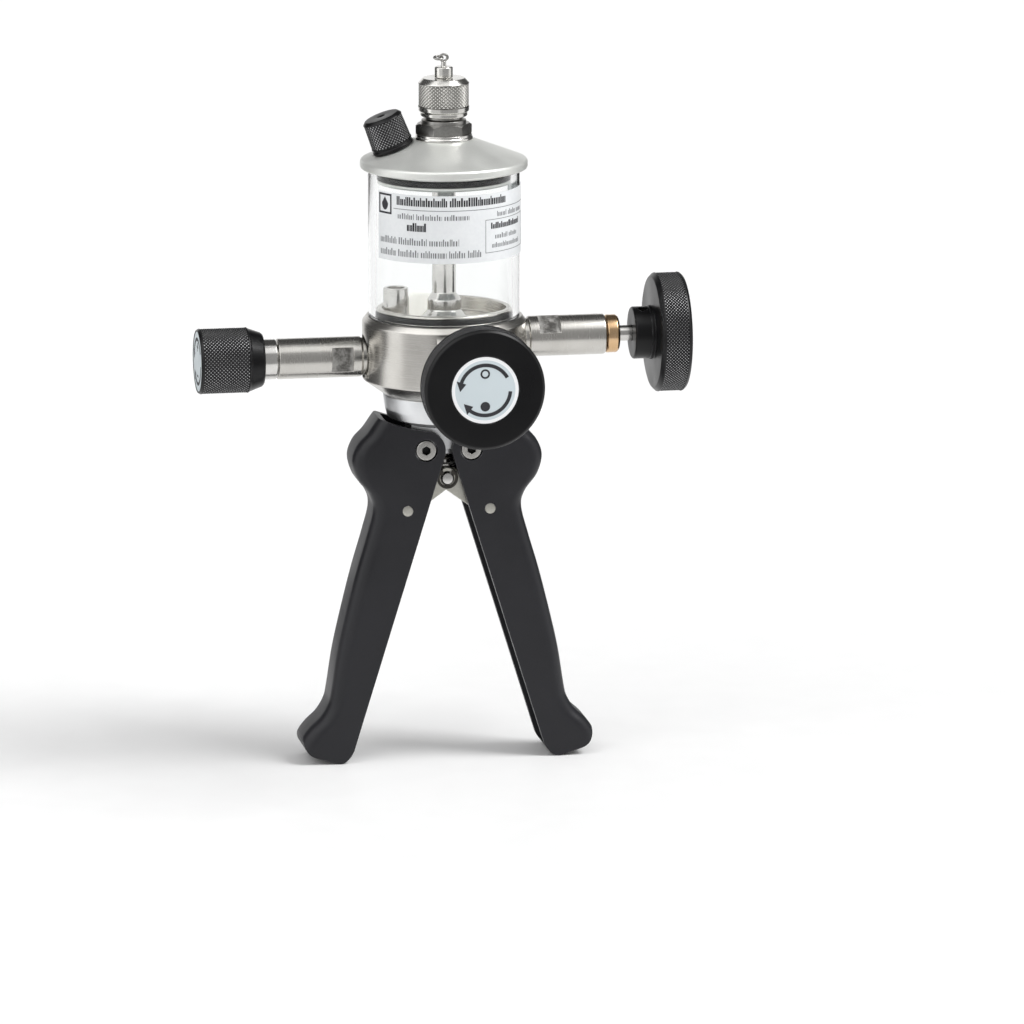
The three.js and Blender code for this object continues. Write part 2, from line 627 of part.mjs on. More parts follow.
function plungerParts() {
  const eyeHalfDepth = 3;
  const top = crosshead + spring.seat;
  const stem = turned([
    [0, crosshead], [PLUNGER_RADIUS, crosshead], [PLUNGER_RADIUS, top - 1.1], [5.4, top - 1.1], [5.4, top],
    [PLUNGER_RADIUS, top], [PLUNGER_RADIUS, PLUNGER_TOP - 0.5], [PLUNGER_RADIUS - 0.5, PLUNGER_TOP],
    [0, PLUNGER_TOP],
  ], 20);
  const eye = plate(disc(0, crosshead, 4.3), eyeHalfDepth, -eyeHalfDepth, 12);
  const pinHole = forwards(rod(CROSS_PIN + SEAT, -10, 10)).translate(0, 0, crosshead);
  const pin = forwards(rod(CROSS_PIN, -9.3, 9.3)).translate(0, 0, crosshead);

  const clip = new THREE.Shape();
  const mouth = 0.75; // half the angle of the clip's mouth, in radians
  clip.absarc(0, 0, 4.5, Math.PI / 2 + mouth * 0.6, Math.PI / 2 - mouth * 0.6 + 2 * Math.PI);
  clip.absarc(0, 0, CROSS_PIN + 0.1, Math.PI / 2 - mouth, Math.PI / 2 + mouth - 2 * Math.PI, true);
  clip.closePath();
  const clipThickness = 0.7;
  const clipFront = 8.65;
  const eClip = (front) => plate(clip, front, front - clipThickness, 10).translate(0, 0, crosshead);

  const springLength = spring.top - (crosshead + spring.seat + 0.1) - 2 * spring.wire;
  return [
    part('plunger', cut(join(stem, eye), pinHole), 'bright'),
    part('crosshead_pin', pin, 'bright'),
    part('crosshead_clip_front', eClip(clipFront), 'springSteel'),
    part('crosshead_clip_rear', eClip(clipThickness - clipFront), 'springSteel'),
    part('return_spring', coil(spring.radius, spring.wire, spring.coils, springLength)
      .translate(0, 0, crosshead + spring.seat + 0.1 + spring.wire), 'springSteel'),
  ];
}

// ---------------------------------------------------------------------------------------------------
// The pump
// ---------------------------------------------------------------------------------------------------

const QUARTER = Math.PI / 2;
const FLATS_UP_FRONT = THREE.MathUtils.degToRad(-145); // leaves a flat 55 degrees above the horizon
const SCREW_NEAR_TOP = THREE.MathUtils.degToRad(-166);

const rightValve = assembly(...valve('right', FLATS_UP_FRONT, SCREW_NEAR_TOP));
rightValve.rotation.y = QUARTER;
rightValve.position.z = RIGHT_VALVE_HEIGHT;

const frontValve = assembly(...valve('front', QUARTER, 0));
frontValve.rotation.x = QUARTER;
frontValve.position.z = FRONT_VALVE_HEIGHT;

const leftAdjuster = assembly(...fineAdjuster(QUARTER));
leftAdjuster.rotation.y = -QUARTER;

const pump = assembly(
  part('manifold_block', manifoldBlock(), 'steel'),
  part('lower_housing', lowerHousing(), 'paleAluminium'),
  ...pumpInternals(),
  ...reservoir(),
  fillerCap(),
  ...outletFitting(),
  ...dustCap(),
  rightValve,
  frontValve,
  leftAdjuster,
  handleSide('right', 1, 7.8),
  handleSide('left', -1, 5.4),
  ...plungerParts(),
);

const bounds = new THREE.Box3().setFromObject(pump, true);
const centre = bounds.getCenter(new THREE.Vector3());
pump.position.set(-centre.x, -centre.y, -bounds.min.z);

const model = assembly(pump);
export default model;
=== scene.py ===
# The looks of a hydraulic hand pump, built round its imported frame.
#
# Shapes are drawn in millimetres about their own axes and placed by a matrix that comes from the frame.
# Profiles of turned pieces are (radius, height) pairs along the piece's own axis.

import json
import math
import random

import bmesh
import bpy
from mathutils import Matrix, Vector


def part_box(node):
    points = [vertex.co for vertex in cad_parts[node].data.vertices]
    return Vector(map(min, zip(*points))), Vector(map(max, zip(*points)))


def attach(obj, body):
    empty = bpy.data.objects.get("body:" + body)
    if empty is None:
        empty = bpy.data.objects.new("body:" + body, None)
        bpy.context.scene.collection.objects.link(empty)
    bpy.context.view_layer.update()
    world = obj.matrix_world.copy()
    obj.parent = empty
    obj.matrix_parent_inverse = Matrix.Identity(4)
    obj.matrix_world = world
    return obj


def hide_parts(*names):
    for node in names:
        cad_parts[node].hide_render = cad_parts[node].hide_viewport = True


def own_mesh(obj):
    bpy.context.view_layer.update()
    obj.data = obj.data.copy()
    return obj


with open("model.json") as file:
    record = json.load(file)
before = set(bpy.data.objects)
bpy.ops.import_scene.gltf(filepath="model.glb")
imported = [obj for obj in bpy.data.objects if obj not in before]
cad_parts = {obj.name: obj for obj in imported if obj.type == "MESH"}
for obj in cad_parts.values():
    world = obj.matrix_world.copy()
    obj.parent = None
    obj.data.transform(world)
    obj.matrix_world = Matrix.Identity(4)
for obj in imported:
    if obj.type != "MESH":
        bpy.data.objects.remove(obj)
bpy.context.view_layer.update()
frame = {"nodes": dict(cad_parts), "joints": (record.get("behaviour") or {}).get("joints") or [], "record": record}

MM = 0.001
ROUND = 144  # segments round the large turned pieces
SMALL = 64  # segments round valves, knobs and pins
CREASE = math.radians(34)  # a sharper angle than this between two faces is drawn as an edge

body_of = {
    node: body for body, nodes in frame["record"]["behaviour"]["bodies"].items() for node in nodes
}
joints = {joint["name"]: joint for joint in frame["joints"]}


# ---- Where things are ----

def centre(node):
    low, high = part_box(node)
    return (low + high) / 2


def turn_about(axis, degrees):
    return Matrix.Rotation(math.radians(degrees), 4, axis)


axis_line = centre("delivery_tube")


def level_with(node):
    """The place on the pump's axis that is as high as a node's middle."""
    return Matrix.Translation((axis_line.x, axis_line.y, centre(node).z))


PUMP = level_with("fine_adjust_guide")
LEFT = PUMP @ turn_about("Y", -90)
RIGHT = level_with("right_gland_nut") @ turn_about("Y", 90)
FRONT = level_with("front_gland_nut") @ turn_about("X", 90)
FACING = PUMP @ turn_about("X", 90)  # X to the viewer's right, Y up and Z towards the viewer
TILT = joints["left_handle_squeeze"]["range_deg"][1]  # the handles stand this far from upright at rest


def in_pump(point):
    """A point of the frame in the pump's own millimetres."""
    return (PUMP.inverted() @ point) / MM


def span(node):
    """A node's lowest and highest corners in the pump's own millimetres."""
    return tuple(in_pump(corner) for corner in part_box(node))


def shifted(place, x=0.0, y=0.0, z=0.0):
    """A place moved along its own axes by this many millimetres."""
    return place @ Matrix.Translation((x * MM, y * MM, z * MM))


def beside(node):
    """The pump's own place, moved sideways to an upright node's axis."""
    middle = in_pump(centre(node))
    return shifted(PUMP, middle.x, middle.y)


# ---- Mesh building ----

def add_object(name, data):
    made = bpy.data.objects.new(name, data)
    bpy.context.scene.collection.objects.link(made)
    return made


def new_object(name, bm, place):
    bmesh.ops.recalc_face_normals(bm, faces=bm.faces)
    bmesh.ops.scale(bm, vec=(MM, MM, MM), verts=bm.verts)
    for face in bm.faces:
        face.smooth = True
    mesh = bpy.data.meshes.new(name)
    bm.to_mesh(mesh)
    bm.free()
    piece = add_object(name, mesh)
    piece.matrix_world = place
    return piece


def quadratic(start, control, end, steps=8):
    """Points along a quadratic curve, without its start."""
    a, b, c = Vector(start), Vector(control), Vector(end)
    shares = (k / steps for k in range(1, steps + 1))
    return [(1 - t) ** 2 * a + 2 * t * (1 - t) * b + t * t * c for t in shares]


def rounded(profile, radius=0.3, steps=4, closed=False):
    """The same profile with its corners rounded, apart from the ends of an open one."""
    points = [Vector(point) for point in profile]
    result = []
    for i, corner in enumerate(points):
        if not closed and i in (0, len(points) - 1):
            result.append(corner)
            continue
        back = points[i - 1] - corner
        ahead = points[(i + 1) % len(points)] - corner
        reach = min(radius, 0.45 * back.length, 0.45 * ahead.length)
        start = corner + back.normalized() * reach
        end = corner + ahead.normalized() * reach
        result += [start, *quadratic(start, corner, end, steps)]
    return result


def oblong(inner, outer, low, high):
    """The profile of a plain ring, or of a plain rod if its inner radius is 0."""
    return [(inner, low), (outer, low), (outer, high), (inner, high)]


def ring_of(bm, radius, height, segments):
    if radius < 1e-6:
        return [bm.verts.new((0, 0, height))]
    return [
        bm.verts.new((radius * math.cos(a), radius * math.sin(a), height))
        for a in (2 * math.pi * i / segments for i in range(segments))
    ]


def bridge(bm, lower, upper):
    """Faces between two loops of points, or between a loop and a single point."""
    below, above = len(lower), len(upper)
    for i in range(max(below, above)):
        j = (i + 1) % max(below, above)
        corners = [lower[i % below], lower[j % below], upper[j % above], upper[i % above]]
        bm.faces.new(list(dict.fromkeys(corners)))


def skin(bm, loops, joined=False):
    """Faces from each loop to the next, and on to the first again if joined, or else with flat ends."""
    for near, far in zip(loops, loops[1:]):
        bridge(bm, near, far)
    if joined:
        bridge(bm, loops[-1], loops[0])
        return
    for end in (loops[0], loops[-1]):
        if len(end) > 2:
            bm.faces.new(end)


def extrude(bm, outline, low, high):
    """A flat outline in X and Y made solid between two heights."""
    skin(bm, [[bm.verts.new((x, y, z)) for x, y in outline] for z in (low, high)])


def wire_section(bm, out, radius, height, wire, corners):
    """Points round a wire that runs at this radius and height, on the side that out points to."""
    return [
        bm.verts.new(out * (radius + wire * math.cos(b)) + Vector((0, 0, height + wire * math.sin(b))))
        for b in (2 * math.pi * j / corners for j in range(corners))
    ]


def turned(name, profile, place, segments=SMALL, radius=0.3, steps=4):
    """A solid turned about Z, or a ring if its profile stays off the axis."""
    closed = profile[0][0] > 0
    bm = bmesh.new()
    skin(bm, [ring_of(bm, r, z, segments) for r, z in rounded(profile, radius, steps, closed)], closed)
    return new_object(name, bm, place)


def knurled(name, below, above, count, rows, depth, place, radius, tips_finish, flank_finish, flat=34):
    """A turned solid with diamond knurling from the end of one profile to the start of the next.

    The diamonds' tips are worn flat, by a percentage of the way to their neighbours, and take a finish of
    their own."""
    segments = 2 * count
    lower = rounded(below + [above[0]], radius)[:-1]
    upper = rounded([below[-1]] + above, radius)[1:]
    start, end = Vector(below[-1]), Vector(above[0])
    bm = bmesh.new()
    bottom = [ring_of(bm, r, z, segments) for r, z in lower]
    band = []
    for row in range(rows + 1):
        middle = start.lerp(end, row / rows)
        verts = ring_of(bm, middle.x - depth, middle.y, segments)
        if 0 < row < rows:
            for i in range(row % 2, segments, 2):
                verts[i].co.xy = verts[i].co.xy.normalized() * middle.x
        band.append(verts)
    tips = []
    for row in range(rows):
        near, far = band[row], band[row + 1]
        for i in range(segments):
            j = (i + 1) % segments
            a, b, c, d = near[i], near[j], far[j], far[i]
            halves = ((a, b, c), (a, c, d)) if (row + i) % 2 else ((a, b, d), (b, c, d))
            for corners in halves:
                bm.faces.new(corners)
        if row > 0:
            tips += near[row % 2::2]
    top = [ring_of(bm, r, z, segments) for r, z in upper]
    for loops in ([*bottom, band[0]], [band[-1], *top]):
        for near, far in zip(loops, loops[1:]):
            bridge(bm, near, far)
    made = bmesh.ops.bevel(bm, geom=tips, offset=flat, offset_type="PERCENT", affect="VERTICES", segments=1)
    for face in made["faces"]:
        face.material_index = 1
    piece = new_object(name, bm, place)
    for finish in (None, tips_finish, flank_finish):
        piece.data.materials.append(finish)
    root = min(start.x, end.x) - depth - 0.01  # just below the bottom of the grooves
    for face in piece.data.polygons:
        middle = face.center / MM
        if start.y < middle.z < end.y and middle.xy.length > root:
            face.use_smooth = False
            face.material_index = face.material_index or 2
    return piece


def prism(name, outline, low, high, place):
    bm = bmesh.new()
    extrude(bm, outline, low, high)
    return new_object(name, bm, place)


def arc(radius, start, end, x=0.0, y=0.0, steps=24):
    """Points along an arc, with its angles in degrees."""
    angles = (math.radians(start + (end - start) * k / (steps - 1)) for k in range(steps))
    return [(x + radius * math.cos(a), y + radius * math.sin(a)) for a in angles]


def sharp_turned(profile, place, segments=SMALL):
    """A turned solid with sharp corners, to cut or join with."""
    return turned("sharp", profile, place, segments, 0, 1)


def rod(radius, low, high, place, segments=SMALL):
    return sharp_turned(oblong(0, radius, low, high), place, segments)


def carve(piece, *cutters, operation="DIFFERENCE"):
    for cutter in cutters:
        modifier = piece.modifiers.new("carve", "BOOLEAN")
        modifier.operation = operation
        modifier.solver = "EXACT"
        modifier.object = cutter
    graph = bpy.context.evaluated_depsgraph_get()
    mesh = bpy.data.meshes.new_from_object(piece.evaluated_get(graph))
    mesh.name = piece.name
    piece.modifiers.clear()
    piece.data = mesh
    for cutter in cutters:
        bpy.data.objects.remove(cutter)
    return piece


def soften(piece, width, segments=2, angle=CREASE):
    """Rounds the piece's sharp edges."""
    bevel = piece.modifiers.new("soften", "BEVEL")
    bevel.width = width * MM
    bevel.segments = segments
    bevel.limit_method = "ANGLE"
    bevel.angle_limit = angle
    bevel.harden_normals = True
    return piece


def two_finishes(piece, first, second, takes_second):
    """Gives the faces that pass a test the second finish, and all the others the first."""
    piece.data.materials.clear()
    for finish in (first, second):
        piece.data.materials.append(finish)
    for face in piece.data.polygons:
        face.material_index = int(takes_second(face))


def stand_for(piece, material, slot, *nodes, body=None):
    """Finishes a piece: its shading, its material, the body it rides on and the CAD nodes it stands for."""
    mesh = piece.data
    if not piece.modifiers:
        mesh.set_sharp_from_angle(angle=CREASE)
    if not mesh.materials:
        mesh.materials.append(material)
    else:
        mesh.materials[0] = material
    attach(piece, body or body_of[nodes[0]])
    if nodes:
        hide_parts(*nodes)
    return piece


# ---- Materials ----

class Tree:
    """A node tree under construction, with short calls for arithmetic."""

    def __init__(self, tree):
        self.tree = tree

    def node(self, kind, **settings):
        made = self.tree.nodes.new(kind)
        for key, value in settings.items():
            setattr(made, key, value)
        return made

    def link(self, source, target):
        self.tree.links.new(source, target)

    def math(self, operation, first, *others, clamp=False):
        """An operation on one value, or on the result so far and each further value in turn."""
        for other in others or (0.0,):
            made = self.node("ShaderNodeMath", operation=operation, use_clamp=clamp)
            for socket, value in zip(made.inputs, (first, other)):
                if isinstance(value, (int, float)):
                    socket.default_value = value
                else:
                    self.link(value, socket)
            first = made.outputs[0]
        return first

    def mix(self, first, second, share=0.5):
        """The second value by this share, and the first by the rest."""
        return self.math(
            "ADD", self.math("MULTIPLY", first, 1 - share), self.math("MULTIPLY", second, share),
        )

    def length(self, x, y):
        return self.math("SQRT", self.math("ADD", self.math("MULTIPLY", x, x), self.math("MULTIPLY", y, y)))

    def show(self, share, first, second):
        """Shows the second shader by this share, and the first by the rest."""
        mix = self.node("ShaderNodeMixShader")
        for socket, source in zip(mix.inputs, (share, first, second)):
            self.link(source, socket)
        self.link(mix.outputs[0], self.tree.nodes["Material Output"].inputs["Surface"])

    def axes(self, vector):
        parts = self.node("ShaderNodeSeparateXYZ")
        self.link(vector, parts.inputs[0])
        return tuple(parts.outputs)


class Surface(Tree):
    """A material under construction, with short calls for the nodes that this object uses."""

    def __init__(self, name, **inputs):
        self.material = bpy.data.materials.new(name)
        self.material.use_nodes = True
        super().__init__(self.material.node_tree)
        self.shader = self.tree.nodes["Principled BSDF"]
        self.coordinates = self.node("ShaderNodeTexCoord").outputs["Object"]
        for key, value in inputs.items():
            self.shader.inputs[key.replace("_", " ")].default_value = value

    def noise(self, scale, detail=3.0, coordinates=None):
        made = self.node("ShaderNodeTexNoise")
        made.inputs["Scale"].default_value = scale
        made.inputs["Detail"].default_value = detail
        self.link(coordinates or self.coordinates, made.inputs["Vector"])
        return made.outputs["Fac"]

    def spread(self, value, low, high, start=0.3, end=0.7):
        made = self.node("ShaderNodeMapRange")
        for key, number in (("From Min", start), ("From Max", end), ("To Min", low), ("To Max", high)):
            made.inputs[key].default_value = number
        self.link(value, made.inputs["Value"])
        return made.outputs[0]

    def blend(self, value, first, second, start=0.3, end=0.7):
        ramp = self.node("ShaderNodeValToRGB")
        ramp.color_ramp.elements[0].position = start
        ramp.color_ramp.elements[0].color = (*first, 1)
        ramp.color_ramp.elements[1].position = end
        ramp.color_ramp.elements[1].color = (*second, 1)
        self.link(value, ramp.inputs[0])
        return ramp.outputs[0]

    def bump(self, height, strength, distance=0.02):
        made = self.node("ShaderNodeBump")
        made.inputs["Strength"].default_value = strength
        made.inputs["Distance"].default_value = distance * MM
        self.link(height, made.inputs["Height"])
        self.link(made.outputs[0], self.shader.inputs["Normal"])

    def feed(self, **inputs):
        for key, source in inputs.items():
            self.link(source, self.shader.inputs[key.replace("_", " ")])

    def radius(self):
        """Distance from the piece's own axis."""
        x, y, _ = self.axes(self.coordinates)
        return self.length(x, y)

    def round_lines(self):
        """Coordinates that run slowly round the Z axis and fast along it, as turning marks do."""
        metres_per_radian = 0.0006
        x, y, z = self.axes(self.coordinates)
        angle = self.math("ABSOLUTE", self.math("ARCTAN2", y, x))
        joined = self.node("ShaderNodeCombineXYZ")
        self.link(self.math("MULTIPLY", angle, metres_per_radian), joined.inputs[0])
        self.link(z, joined.inputs[1])
        self.link(self.radius(), joined.inputs[2])
        return joined.outputs[0]


def turned_metal(name, dark, light, roughness, marks=0.025, line_scale=2600):
    s = Surface(name, Metallic=1.0)
    lines = s.noise(line_scale, 3, s.round_lines())
    cloud = s.noise(90, 4)
    s.feed(
        Base_Color=s.blend(s.mix(lines, cloud, 0.8), dark, light),
        Roughness=s.spread(lines, roughness - 0.02, roughness + 0.03),
    )
    s.bump(lines, marks, 0.01)
    return s.material


def grainy(s, fine, cloud, dark, light, smoothest, roughest, marks):
    """A surface with fine grain and a broader mottle."""
    s.feed(
        Base_Color=s.blend(s.mix(fine, cloud), dark, light),
        Roughness=s.spread(cloud, smoothest, roughest),
    )
    s.bump(fine, marks)
    return s.material


def plain_metal(name, dark, light, roughness, grain=1800, marks=0.15, metallic=1.0):
    """Blasted, cast, plated or sheet metal, whose grain has no direction."""
    s = Surface(name, Metallic=metallic)
    fine, cloud = s.noise(grain, 5), s.noise(70, 4)
    return grainy(s, fine, cloud, dark, light, roughness - 0.05, roughness + 0.08, marks)


def milled_metal():
    """A milled flat: mottled, and darker in the middle than at its ends."""
    s = Surface("milled_flat", Metallic=1.0)
    _, _, z = s.axes(s.coordinates)
    middle = (FLAT_FROM + FLAT_TO) / 2
    off = s.math("ABSOLUTE", s.math("SUBTRACT", s.math("DIVIDE", z, MM), middle))
    end = s.spread(off, 0, 1, 2.6, 4.4)
    mottle = s.mix(s.noise(1400, 2), s.noise(330, 3), 0.6)
    value = s.math("ADD", mottle, s.math("MULTIPLY", end, 0.22))
    s.feed(
        Base_Color=s.blend(value, (0.17, 0.165, 0.155), (0.50, 0.49, 0.47), 0.42, 0.72),
        Roughness=s.spread(mottle, 0.32, 0.5),
    )
    s.bump(mottle, 0.35, 0.03)
    return s.material


def black_finish(name, dark, light, roughness, grain, marks, shine, worn=(0.16, 0.16, 0.17)):
    """A black coating with fine grain, a little paler where its edges are worn."""
    s = Surface(name, Specular_IOR_Level=shine)
    fine = s.noise(grain, 5)
    cloud = s.noise(45, 4)
    base = s.blend(s.mix(fine, cloud, 0.6), dark, light)
    softened = s.node("ShaderNodeBevel", samples=4)
    softened.inputs["Radius"].default_value = 0.5 * MM
    turn = s.node("ShaderNodeVectorMath", operation="DOT_PRODUCT")
    s.link(softened.outputs[0], turn.inputs[0])
    s.link(s.node("ShaderNodeNewGeometry").outputs["Normal"], turn.inputs[1])
    edge = s.spread(turn.outputs["Value"], 1, 0, 0.82, 0.97)
    patchy = s.math("MULTIPLY", edge, s.spread(s.noise(300, 4), 0, 1, 0.42, 0.68))
    mix = s.node("ShaderNodeMix", data_type="RGBA")
    s.link(patchy, mix.inputs[0])
    s.link(base, mix.inputs[6])
    mix.inputs[7].default_value = (*worn, 1)
    s.feed(Base_Color=mix.outputs[2], Roughness=s.spread(cloud, roughness - 0.05, roughness + 0.07))
    s.bump(fine, marks)
    return s.material


def soft_material(name, dark, light, roughness, grain=900, marks=0.2):
    """Rubber, plastic, paper or ink."""
    s = Surface(name)
    fine, cloud = s.noise(grain, 4), s.noise(60, 4)
    return grainy(s, fine, cloud, dark, light, roughness - 0.06, roughness + 0.06, marks)


def dial_paper():
    """A round label: a pale centre inside a white rim."""
    s = Surface("dial_paper")
    rim = s.math("GREATER_THAN", s.radius(), 0.9 * DIAL * MM)
    cloud = s.noise(260, 4)
    s.feed(
        Base_Color=s.blend(rim, (0.58, 0.65, 0.68), (0.86, 0.87, 0.88), 0.1, 0.9),
        Roughness=s.spread(cloud, 0.3, 0.42),
    )
    s.bump(cloud, 0.1)
    return s.material


def clear_acrylic():
    """Clear plastic that lets light through to what is inside it."""
    s = Surface("clear_acrylic", Transmission_Weight=1.0, IOR=1.19, Base_Color=(0.985, 0.992, 0.99, 1))
    haze = s.noise(55, 5)
    s.feed(Roughness=s.spread(haze, 0.0, 0.035))
    s.bump(s.noise(160, 3), 0.04)
    rays = s.node("ShaderNodeLightPath")
    through = s.math("MAXIMUM", rays.outputs["Is Shadow Ray"], rays.outputs["Is Diffuse Ray"])
    clear = s.node("ShaderNodeBsdfTransparent")
    clear.inputs[0].default_value = (0.95, 0.96, 0.96, 1)
    s.show(through, s.shader.outputs[0], clear.outputs[0])
    return s.material


DIAL = 13.9  # radius of the round labels on the knobs
FLAT = 6.76  # distance of a wrench flat from its barrel's axis
FLAT_FROM, FLAT_TO = 39.55, 48.65  # its ends, as distances from the pump's axis

stainless = turned_metal("turned_stainless", (0.50, 0.485, 0.455), (0.60, 0.585, 0.555), 0.25)
polished = turned_metal("polished_steel", (0.55, 0.54, 0.52), (0.70, 0.69, 0.67), 0.18)
blasted = plain_metal("blasted_aluminium", (0.74, 0.75, 0.72), (0.83, 0.84, 0.81), 0.42, 2600, 0.25, 0.6)
satin = turned_metal("satin_aluminium", (0.64, 0.65, 0.66), (0.76, 0.77, 0.78), 0.34)
nickel = plain_metal("bright_nickel", (0.64, 0.63, 0.60), (0.80, 0.79, 0.76), 0.17, 1500, 0.06)
# painted highlight and shade for knurling: the tips take a paler nickel and the flanks a much darker one
nickel_tip_painted_highlight = plain_metal("nickel_tip_painted_highlight", (0.84, 0.83, 0.80), (0.92, 0.91, 0.89), 0.3, 1500, 0.06, 0.6)
nickel_flank_painted_shade = plain_metal("nickel_flank_painted_shade", (0.26, 0.255, 0.24), (0.44, 0.43, 0.41), 0.3, 1500, 0.06)
dark_nickel = plain_metal("dark_nickel", (0.27, 0.265, 0.25), (0.44, 0.435, 0.42), 0.3, 1300, 0.2)
brass = turned_metal("brass", (0.55, 0.36, 0.19), (0.72, 0.50, 0.30), 0.24)
bronze = turned_metal("bronze", (0.36, 0.20, 0.09), (0.52, 0.31, 0.15), 0.4)
zinc = plain_metal("zinc_plate", (0.42, 0.41, 0.37), (0.56, 0.55, 0.50), 0.3, 1100, 0.2)
bolt_steel = turned_metal("bolt_steel", (0.40, 0.39, 0.37), (0.54, 0.53, 0.51), 0.28)
spring_steel = plain_metal("spring_steel", (0.035, 0.033, 0.03), (0.09, 0.085, 0.075), 0.34, 1500, 0.15)
socket_dark = plain_metal("socket_shadow", (0.02, 0.02, 0.02), (0.05, 0.05, 0.05), 0.5, 1500, 0.15)
milled = milled_metal()
grip_black = black_finish(
    "satin_black_coat", (0.010, 0.010, 0.0125), (0.0155, 0.0155, 0.019), 0.40, 2300, 0.28, 0.34,
)
knob_black = black_finish(
    "black_anodised", (0.0022, 0.0022, 0.0028), (0.0045, 0.0045, 0.0052), 0.31, 2600, 0.14, 0.27,
)
knurl_black = soft_material("knurl_black", (0.004, 0.004, 0.005), (0.008, 0.008, 0.009), 0.4, 2000, 0.1)
# the knurls' flattened tips: partly worn bare metal, partly a painted highlight standing in for glints
worn_and_glinting_tip = plain_metal("worn_and_glinting_knurl_tip", (0.32, 0.32, 0.33), (0.62, 0.62, 0.63), 0.34, 900, 0.1)
rubber = soft_material("black_rubber", (0.008, 0.008, 0.008), (0.02, 0.02, 0.02), 0.5)
ptfe = soft_material("white_ptfe_painted_glow", (0.74, 0.73, 0.69), (0.85, 0.84, 0.81), 0.45)
# painted glow: the PTFE strainer and packings emit light though they are no lamp, beside a real share of
# transmission
translucency_and_painted_glow = {"Transmission Weight": 0.3, "Emission Strength": 0.38, "Emission Color": (1, 1, 0.97, 1)}
for key, value in translucency_and_painted_glow.items():  # some light passes through it, and an emission paints a glow on it though it is no lamp
    ptfe.node_tree.nodes["Principled BSDF"].inputs[key].default_value = value
label_paper = soft_material("label_film", (0.80, 0.82, 0.84), (0.88, 0.90, 0.91), 0.34, 700, 0.05)
label_ink = soft_material("label_ink", (0.012, 0.012, 0.016), (0.03, 0.03, 0.036), 0.5, 900, 0.05)
faint_ink = soft_material("faint_ink", (0.15, 0.155, 0.165), (0.24, 0.245, 0.26), 0.5, 900, 0.05)
dial_face = dial_paper()
acrylic = clear_acrylic()


# ---- Manifold block and lower housing ----

BLOCK = 34.4  # outer radius of the block
ARM = 8.5  # outer radius of the three arms


def manifold_block():
    block = turned("block_body", [
        (0, -15.8), (26, -15.8), (BLOCK, -9.8), (BLOCK, 14.4), (32.6, 16.8), (28.4, 16.8), (28.4, 17.1),
        (26.9, 17.1), (26.9, 19.7), (28.4, 19.7), (28.4, 20.5), (27.9, 21), (25.9, 21), (25.5, 15.5),
        (0, 15.5),
    ], PUMP, ROUND, 0.45)
    holes = []
    for arm in (LEFT, RIGHT, FRONT):
        holes.append(sharp_turned([
            (0, 1), (1.4, 1), (1.4, 24), (7.15, 24), (7.15, BLOCK - 1), (ARM + 0.6, BLOCK - 1),
            (ARM + 0.6, 38), (0, 38),
        ], arm))
    holes.append(sharp_turned([
        (0, -17), (3.33, -17), (3.33, -5.5), (1.2, -5.5), (1.2, -3.6), (2.9, -1.9), (2.9, 7.5), (4.2, 7.5),
        (4.2, 17), (0, 17),
    ], PUMP))
    holes.append(sharp_turned([
        (0, -12), (1, -12), (1, -8.5), (2.4, -7), (2.4, 17), (0, 17),
    ], beside("intake_strainer")))
    holes.append(rod(2.6, 2, 17, beside("return_pipe")))
    carve(block, *holes)
    stand_for(soften(block, 0.3), stainless, "steel", "manifold_block")


def lower_housing():
    pivot = in_pump(centre("right_pivot_screw"))
    half_depth = 9.2
    ear = 5.8
    collar = turned("handle_collar", [
        (0, -15.85), (25.3, -15.85), (25.8, -16.4), (25, -22.4), (24, -26), (16.5, -28.8), (0, -28.8),
    ], PUMP, ROUND, 0.4)
    tongue = prism("tongue", [
        *arc(ear, 180, 360, -pivot.x, pivot.z), *arc(ear, 180, 360, pivot.x, pivot.z),
        (pivot.x + ear, -28.2), (-pivot.x - ear, -28.2),
    ], -half_depth, half_depth, FACING)
    boss = rod(6.9, -41.5, -28.2, PUMP)
    carve(collar, tongue, boss, operation="UNION")
    bore = sharp_turned([
        (0, -60), (5.9, -60), (5.9, -27.8), (5.2, -27.8), (5.2, -20.2), (3.33, -20.2), (3.33, -10), (0, -10),
    ], PUMP)
    holes = [rod(2.65, -30, 30, shifted(FACING, x, pivot.z)) for x in (pivot.x, -pivot.x)]
    carve(collar, bore, *holes)
    stand_for(soften(collar, 0.35), satin, "pale_aluminium", "lower_housing")


# ---- Reservoir ----

def o_ring(name, node):
    middle, half = in_pump(centre(node)).z, 1.25
    seal = turned(name, oblong(26.95, 28.5, middle - half, middle + half), PUMP, ROUND, 0.75, 6)
    stand_for(seal, rubber, "rubber", node)


def reservoir():
    tube = turned("clear_tube", oblong(28.55, 31.75, 16.9, 79.2), PUMP, ROUND, 0.35)
    stand_for(tube, acrylic, "acrylic", "reservoir_tube")
    o_ring("lower_o_ring", "lower_reservoir_seal")
    o_ring("upper_o_ring", "upper_reservoir_seal")
    riser = turned("oil_riser", [
        (0, 7.7), (3.6, 7.7), (3.9, 8.1), (3.9, 15.55), (10, 15.55), (10, 16.4), (7, 19.8), (7, 24.2),
        (5, 26.8), (5, 87.5), (1.5, 87.5), (1.5, 9), (0, 9),
    ], PUMP, SMALL, 0.5)
    stand_for(riser, polished, "bright", "delivery_tube")
    stub = turned("return_stub", [
        (1.4, 6), (2.4, 6), (2.4, 15.55), (5.2, 15.55), (5.2, 29.3), (3.6, 29.3), (3.6, 18.5), (1.4, 18.5),
    ], beside("return_pipe"), SMALL, 0.35)
    stand_for(stub, polished, "steel", "return_pipe")
    strainer = turned("strainer_plug", [
        (0, 8), (2.2, 8), (2.2, 15.55), (4.5, 15.55), (4.5, 24), (3.9, 24.7), (0, 24.7),
    ], beside("intake_strainer"), SMALL, 0.5)
    stand_for(strainer, ptfe, "ptfe", "intake_strainer")


